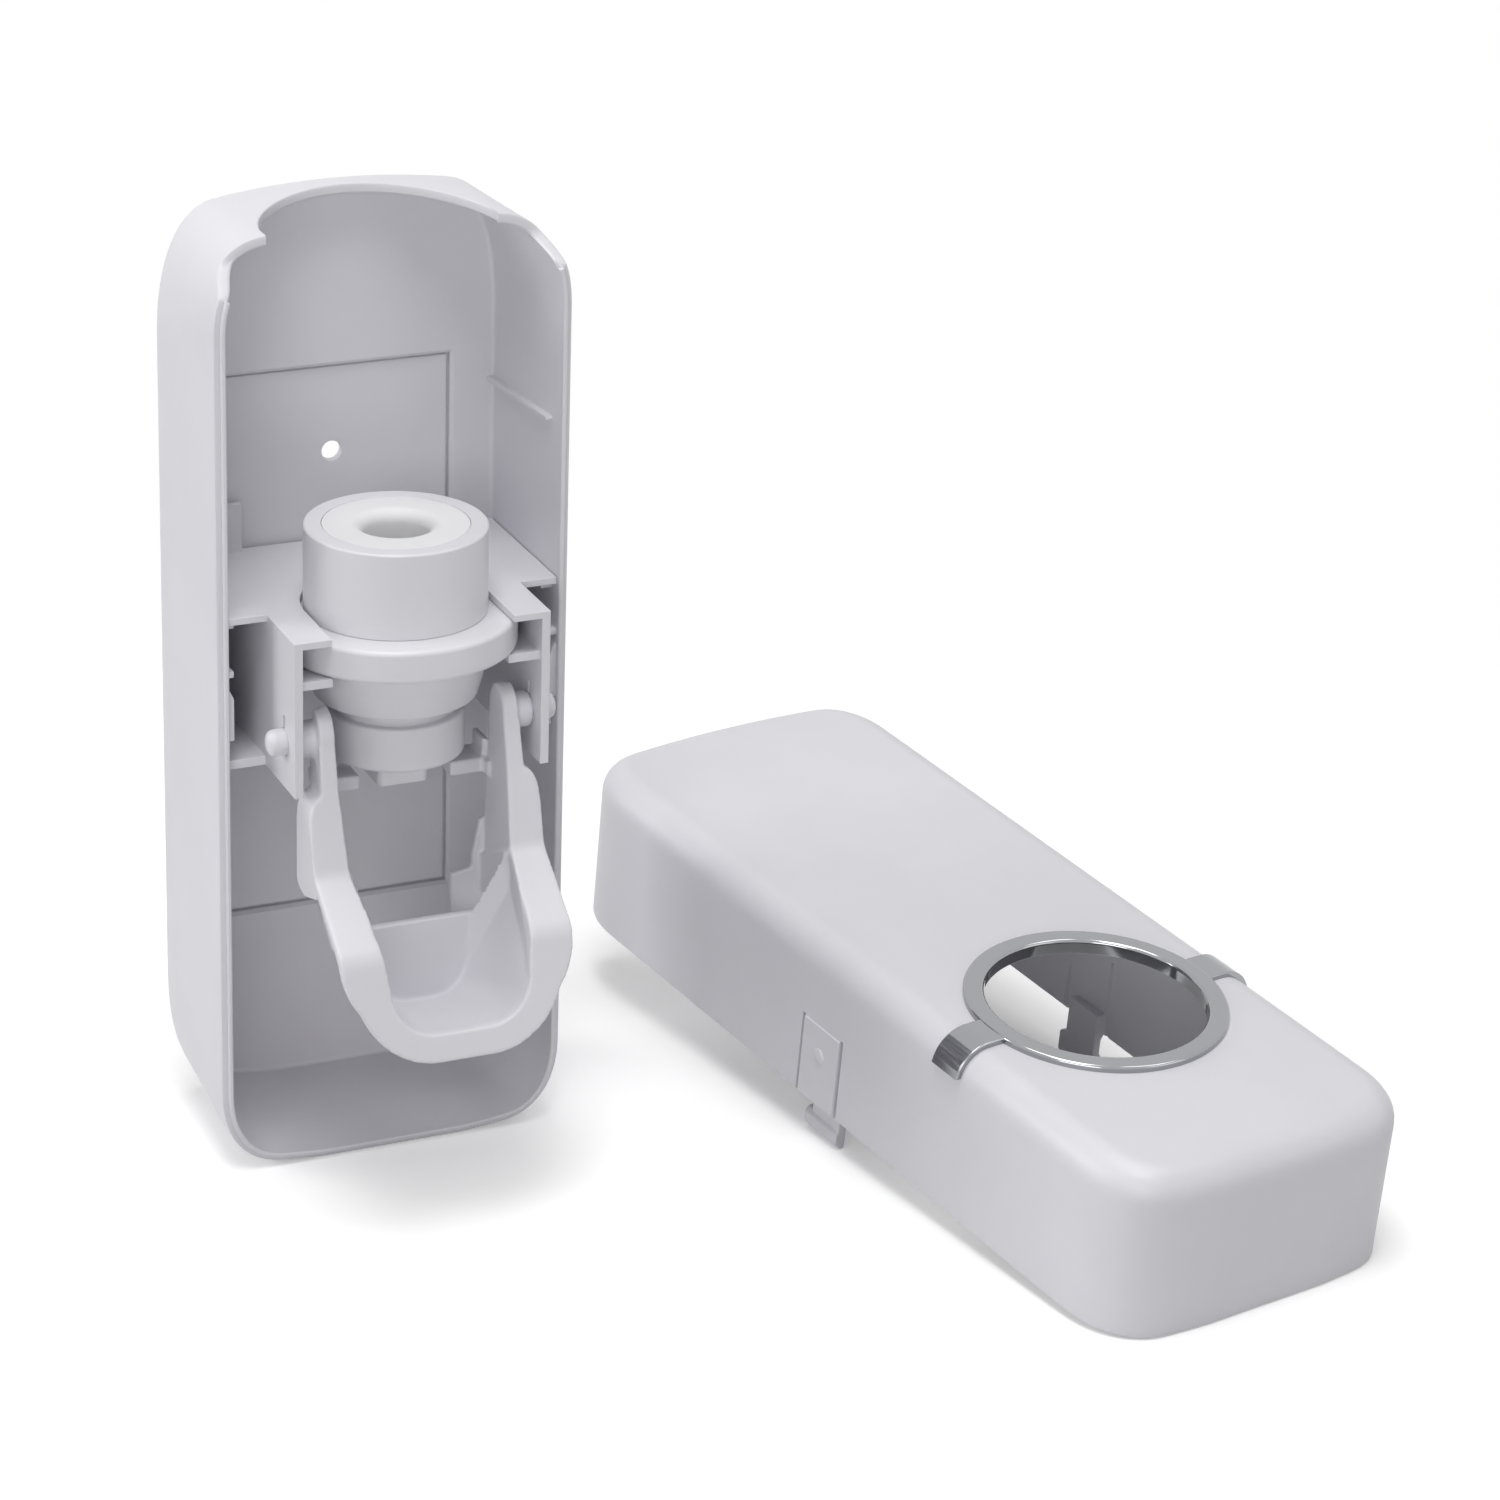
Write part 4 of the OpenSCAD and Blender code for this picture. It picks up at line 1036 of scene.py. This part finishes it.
def lever_side():
    """The lever's right edge as seen from the front, from its top to the middle of its foot."""
    pts, steps = [(ARM_HALF + 2.7, PIVOT_Z + HUB_R), (BAND_HALF, KNEE[1])], 16
    for i in range(1, steps + 1):
        a = math.radians(90 * i / steps)
        pts.append((BAND_HALF + BAND_WIDER * math.sin(a), KNEE[1] - BAND_FALL * (1 - math.cos(a))))
    pts += arc(LEVER_HALF - SIDE_R, FOOT_Z + 17.8, SIDE_R, 0, -35)
    pts += arc(FOOT_HALF - SIDE_R, FOOT_Z + SIDE_R, SIDE_R, -17, -90)
    return pts


def u_outline(upper, low_half, floor, r):
    """A U from its upper points down to a floor with round corners."""
    return both(upper + arc(low_half - r, floor + r, r, 0, -90))


def band_out(z):
    """Where the front band's face lies: one plane that leans out towards its foot."""
    return LIP_OUT + (LIP_TURN[1] - z) * BAND_LEAN


BAND_END = (band_out(FOOT_Z - 1), FOOT_Z - 1)
front = [KNEE + (3,), BEND + (3,), BAND_TOP + (5,), BAND_END + (0,)]
behind = [(out - BAND_T, z - BAND_T / 2, r) for out, z, r in reversed(front)]
side_view = hub(HUB_REACH, 0, 90, 0) + front + behind + hub(HUB_REACH, BAND_T, 0, 90)
lever = prism("lever_u_arm", rounded(side_view), -BODY_W / 2, BODY_W / 2, "x")
common(lever, prism("outline", both(lever_side()), PIVOT_OUT, BAND_END[0] + 1, "out"))
inner_u = [(ARM_HALF, PIVOT_Z + HUB_R + 1), (ARM_HALF, KNEE[1]), (BEND_HALF, BEND[1])]
opening = u_outline(inner_u, U_HALF, U_FLOOR, U_R)
minus(lever, prism("u", opening, PIVOT_OUT - 5, BAND_END[0] + 2, "out"))


def lever_arm():
    """The right arm's flat wall, from the hub to the scoop."""
    side = hub(HUB_BACK, 0, 180, 90) + hub(HUB_REACH, 0, 90, 0)[1:]
    side += [KNEE, BEND, (BEND[0] + 1, ARM_LOW), (ARM_BACK, ARM_LOW)]
    arm = prism("arm", side, 0, BODY_W / 2, "x")
    wall = [
        (ARM_HALF, PIVOT_Z + HUB_R + 0.5),
        (ARM_HALF, KNEE[1]),
        (BEND_HALF, BEND[1]),
        (BEND_HALF, ARM_LOW),
        (BEND_HALF + LEVER_T, ARM_LOW),
        (BEND_HALF + LEVER_T, BEND[1]),
        (ARM_HALF + LEVER_T, KNEE[1]),
        (ARM_HALF + LEVER_T, PIVOT_Z + HUB_R + 0.5),
    ]
    return common(arm, prism("wall", wall, 30, LIP_OUT, "out"))


def turned_stub(name, radius, end, dome):
    """A pin along X at the lever's pivot, with a flat or domed end."""
    root = ARM_HALF + LEVER_T / 2
    steps, rings = 64, 8
    profile = [(radius, root)]
    if dome:
        for i in range(rings):
            a = math.radians(90 * i / rings)
            profile.append((radius * math.cos(a), end - dome * (1 - math.sin(a))))
    else:
        profile.append((radius, end))
    verts, count = [], len(profile)
    for i in range(steps):
        a = 2 * math.pi * i / steps
        verts += [(x, PIVOT_OUT + r * math.cos(a), PIVOT_Z + r * math.sin(a)) for r, x in profile]
    faces = [
        tuple(i * count for i in range(steps)),
        tuple(i * count + count - 1 for i in reversed(range(steps))),
    ]
    for i in range(steps):
        a, b = i * count, ((i + 1) % steps) * count
        faces += [(a + j, a + j + 1, b + j + 1, b + j) for j in range(count - 1)]
    return new_piece(name, verts, faces)


def scoop_form(t, reach):
    """The scoop filled up: t larger all round, and longer by reach where it is open."""
    half, strip_half = BEND_HALF + t, STRIP_HALF + t
    upper = u_outline([(half, BEND[1] + reach)], U_HALF + t, U_FLOOR - t, U_R + t)
    push = u_outline([(strip_half, STRIP_TOP + reach)], PUSH_HALF + t, PUSH_LOW - t, PUSH_R + t)
    below = [(x, z) for x, z in upper if z < LIP_TURN[1]]
    points = [(x, band_out(z) + more, z) for more in (0, reach) for x, z in below]
    points += [(sx * half, BEND[0], z) for sx in (-1, 1) for z in (ARM_LOW, STRIP_TOP + reach)]
    points += [(x, out, z) for out in (PUSH_OUT - t, PUSH_OUT - t + 0.02) for x, z in push]
    return hull("scoop", points)


scoop = scoop_form(LEVER_T, 0)
over_rim = [(LIP_OUT + 3, LIP_TURN[1]), (band_out(LIP_TURN[1]), LIP_TURN[1]), BAND_TOP, BEND]
over_rim += [(BEND[0] - 0.8, BEND[1] - 0.5), (PUSH_OUT, PUSH_TOP), (0, PUSH_TOP)]
over_rim += [(0, BODY_H), (LIP_OUT + 3, BODY_H)]
minus(scoop, scoop_form(0, 1), prism("over_rim", over_rim, -BODY_W / 2, BODY_W / 2, "x"))


def lever_rear():
    """The thin walls behind the band's right: the scoop's side with a fin, and the outer wall."""
    side = [(37.5, 50), (46, 48), (49.3, 50), (49.3, 61.4), (42, 57.8), (37.5, 56)]
    wall = prism("side", side, 13.5, 14.7, "x")
    fin = [(8.3, 42), (13, 42), (14.6, 48), (15.6, 57), (15.2, 62.8), (13.5, 62.8)]
    fin += [(12.2, 56.4), (12.1, 53.7), (8.3, 53.2)]
    union(wall, prism("fin", fin, 37.3, 38.7, "out"))
    skin_t, skin_back, skin_low, skin_top = 1.3, 41.5, 56, 85
    edge = []
    for z in np.linspace(skin_low, skin_top, 30):
        drop = min(max(KNEE[1] - z, 0), BAND_FALL) / BAND_FALL
        edge.append((BAND_HALF + BAND_WIDER * math.sqrt(1 - (1 - drop) ** 2), float(z)))
    behind_edge = [(x - skin_t, z) for x, z in reversed(edge)]
    skin = prism("outer", edge + behind_edge, 30, LIP_OUT, "out")
    reach = [(skin_back, skin_top), (skin_back, 57.4, 2.2), (45.5, 56.6), (51.5, 58.5), BEND]
    reach += [(KNEE[0] - 0.5, KNEE[1]), (44.6, 81), (44.2, skin_top)]
    common(skin, prism("reach", rounded(reach, 4), 0, BODY_W / 2, "x"))
    return [wall, skin]


def lever_lift():
    """The plate inside the right arm that lifts the cup, with its rib and two stiffeners."""
    end_x, low = 8.1, LIFT_TOP - LIFT_H
    return union(
        block(end_x, ARM_HALF + 0.2, 32, 38.5, low, LIFT_TOP),
        block(end_x, 11.5, 32.6, 33.8, low + 0.2, LIFT_TOP + LIFT_RIB_H),
        block(14.0, 15.0, 33, 38, low + 0.1, LIFT_TOP + 3.3),
        block(14.0, 15.6, 37.4, 40.4, low + 0.05, LIFT_TOP - 0.05),
    )


boss = turned_stub("boss", BOSS_R, BOSS_END, 0)
stub = turned_stub("stub", STUB_R, STUB_END, STUB_DOME)
arm = union(lever_arm(), boss, stub, lever_lift())
rear = lever_rear()
union(lever, scoop, arm, mirrored_copy(arm), *(rear + [mirrored_copy(r) for r in rear]))

remesh = lever.modifiers.new("remesh", "REMESH")
remesh.mode = "VOXEL"
remesh.voxel_size = VOXEL * MM
remesh.use_smooth_shade = True
relax = lever.modifiers.new("relax", "SMOOTH")
relax.factor, relax.iterations = 0.5, RELAX_STEPS
apply_modifiers(lever)
lever.data.polygons.foreach_set("use_smooth", [True] * len(lever.data.polygons))
dress(lever, "lever")

# ---------------------------------------------------------------- stage, light and camera


def seen_rays(tree):
    """1 for the rays that show the white background: camera, glossy and transmission rays."""
    rays = tree.nodes.new("ShaderNodeLightPath")
    share = rays.outputs["Is Camera Ray"]
    for kind in ("Is Glossy Ray", "Is Transmission Ray"):
        either = tree.nodes.new("ShaderNodeMath")
        either.operation = "MAXIMUM"
        tree.links.new(share, either.inputs[0])
        tree.links.new(rays.outputs[kind], either.inputs[1])
        share = either.outputs["Value"]
    return share


def stage_floor():
    """Plain paper that looks white and throws little light. Far from the object it glows white, and
    near it a quarter of that glow is painted light that softens the object's shadow.
    """
    size, steps = 5000, 40
    row, floor_z = steps + 1, cad_box[0].z / MM
    places = [size * (i / steps - 0.5) for i in range(row)]
    verts = [(x, out, floor_z) for x in places for out in places]
    faces = [
        (i * row + j, i * row + j + 1, (i + 1) * row + j + 1, (i + 1) * row + j)
        for i in range(steps)
        for j in range(steps)
    ]
    floor = new_piece("floor", verts, faces)
    material = bpy.data.materials.new("floor_paper")
    material.use_nodes = True
    tree = material.node_tree
    tree.nodes.clear()
    coords = tree.nodes.new("ShaderNodeTexCoord").outputs["Object"]
    seen, lit = tree.nodes.new("ShaderNodeBsdfDiffuse"), tree.nodes.new("ShaderNodeBsdfDiffuse")
    shades = ((1.28, 1.28, 1.28, 1), (1.3, 1.3, 1.3, 1))
    tree.links.new(ramp(tree, noise(tree, coords, 900), 0.3, 0.7, shades), seen.inputs["Color"])
    lit.inputs["Color"].default_value = (0.62, 0.62, 0.63, 1)
    paper = tree.nodes.new("ShaderNodeEmission")
    paper.inputs["Color"].default_value = (1, 1, 1, 1)
    near = tree.nodes.new("ShaderNodeVectorMath")
    near.operation = "DISTANCE"
    near.inputs[1].default_value = (0.04, -0.05, 0)
    tree.links.new(coords, near.inputs[0])
    # painted light: between 0.16 m and 0.34 m from the object, the floor's white glow grows from a
    # quarter of its shade to all of it, so the shadow near the object is painted lighter
    painted_glow_share = tree.nodes.new("ShaderNodeMapRange")
    painted_glow_share.inputs["From Min"].default_value, painted_glow_share.inputs["From Max"].default_value = 0.16, 0.34
    painted_glow_share.inputs["To Min"].default_value = 0.25
    tree.links.new(near.outputs["Value"], painted_glow_share.inputs["Value"])
    ground = tree.nodes.new("ShaderNodeMixShader")
    tree.links.new(painted_glow_share.outputs["Result"], ground.inputs["Fac"])
    tree.links.new(seen.outputs["BSDF"], ground.inputs[1])
    tree.links.new(paper.outputs["Emission"], ground.inputs[2])
    mix = tree.nodes.new("ShaderNodeMixShader")
    tree.links.new(seen_rays(tree), mix.inputs["Fac"])
    tree.links.new(lit.outputs["BSDF"], mix.inputs[1])
    tree.links.new(ground.outputs["Shader"], mix.inputs[2])
    output = tree.nodes.new("ShaderNodeOutputMaterial")
    tree.links.new(mix.outputs["Shader"], output.inputs["Surface"])
    floor.data.materials.append(material)


def world_light(strength):
    """An even light on the object, in front of a white background."""
    world = bpy.data.worlds.new("studio")
    world.use_nodes = True
    tree = world.node_tree
    tree.nodes.clear()
    plain, white = tree.nodes.new("ShaderNodeBackground"), tree.nodes.new("ShaderNodeBackground")
    plain.inputs["Color"].default_value = (1, 1, 1, 1)
    plain.inputs["Strength"].default_value = strength
    white.inputs["Color"].default_value = (1, 1, 1, 1)
    mix = tree.nodes.new("ShaderNodeMixShader")
    tree.links.new(seen_rays(tree), mix.inputs["Fac"])
    tree.links.new(plain.outputs["Background"], mix.inputs[1])
    tree.links.new(white.outputs["Background"], mix.inputs[2])
    output = tree.nodes.new("ShaderNodeOutputWorld")
    tree.links.new(mix.outputs["Shader"], output.inputs["Surface"])
    bpy.context.scene.world = world


def area_light(name, place, target, size, power):
    """A rectangular lamp that faces a target. Places are in metres."""
    data = bpy.data.lights.new(name, "AREA")
    data.shape, data.size, data.size_y, data.energy = "RECTANGLE", size[0], size[1], power
    lamp = bpy.data.objects.new(name, data)
    lamp.location = place
    lamp.rotation_mode = "QUATERNION"
    lamp.rotation_quaternion = (Vector(target) - Vector(place)).to_track_quat("-Z", "Y")
    WORK.objects.link(lamp)


def photo_camera():
    """The camera solved from the photograph, with its focal length and centre in pixels."""
    image, sensor, focal, centre_x, centre_y = 1500, 36, 4593.49, 676.48, 673.99
    yaw, pitch, roll = 0.4181, 0.3912, 0.0290
    ahead = math.cos(pitch)
    forward = Vector((math.sin(yaw) * ahead, math.cos(yaw) * ahead, -math.sin(pitch)))
    level = Vector((math.cos(yaw), -math.sin(yaw), 0))
    upright = level.cross(forward)
    right = math.cos(roll) * level + math.sin(roll) * upright
    up = -math.sin(roll) * level + math.cos(roll) * upright
    place = Matrix((right, up, -forward)).transposed().to_4x4()
    place.translation = Vector((-245.33, -684.96, 383.49)) * MM
    data = bpy.data.cameras.new("photo_camera")
    camera = bpy.data.objects.new("photo_camera", data)
    camera.matrix_world = place
    data.sensor_width = sensor
    data.lens = focal * sensor / image
    data.shift_x = (image / 2 - centre_x) / image
    data.shift_y = (centre_y - image / 2) / image
    data.clip_start, data.clip_end = 0.02, 20
    WORK.objects.link(camera)
    bpy.context.scene.camera = camera


stage_floor()
world_light(0.22)
BETWEEN, CASE_FRONT, CASE_SIDE = (0.05, -0.06, 0.05), (0.0, -0.06, 0.06), (0.0, -0.02, 0.06)
area_light("key", (-0.18, -0.34, 1.15), BETWEEN, (0.4, 0.4), 4.1)
area_light("above", (0.0, 0.02, 1.15), BETWEEN, (0.5, 0.5), 2.9)
area_light("above_right", (0.55, -0.25, 1.0), BETWEEN, (0.4, 0.4), 1.2)
area_light("side", (-1.1, 0.45, 0.5), CASE_SIDE, (0.6, 0.6), 5.8)
area_light("front", (-0.6, -1.0, 0.35), CASE_FRONT, (0.7, 0.5), 3.0)
area_light("front_right", (0.7, -0.9, 0.4), CASE_FRONT, (0.6, 0.5), 0.7)
photo_camera()
bpy.context.scene.view_settings.view_transform = "Standard"
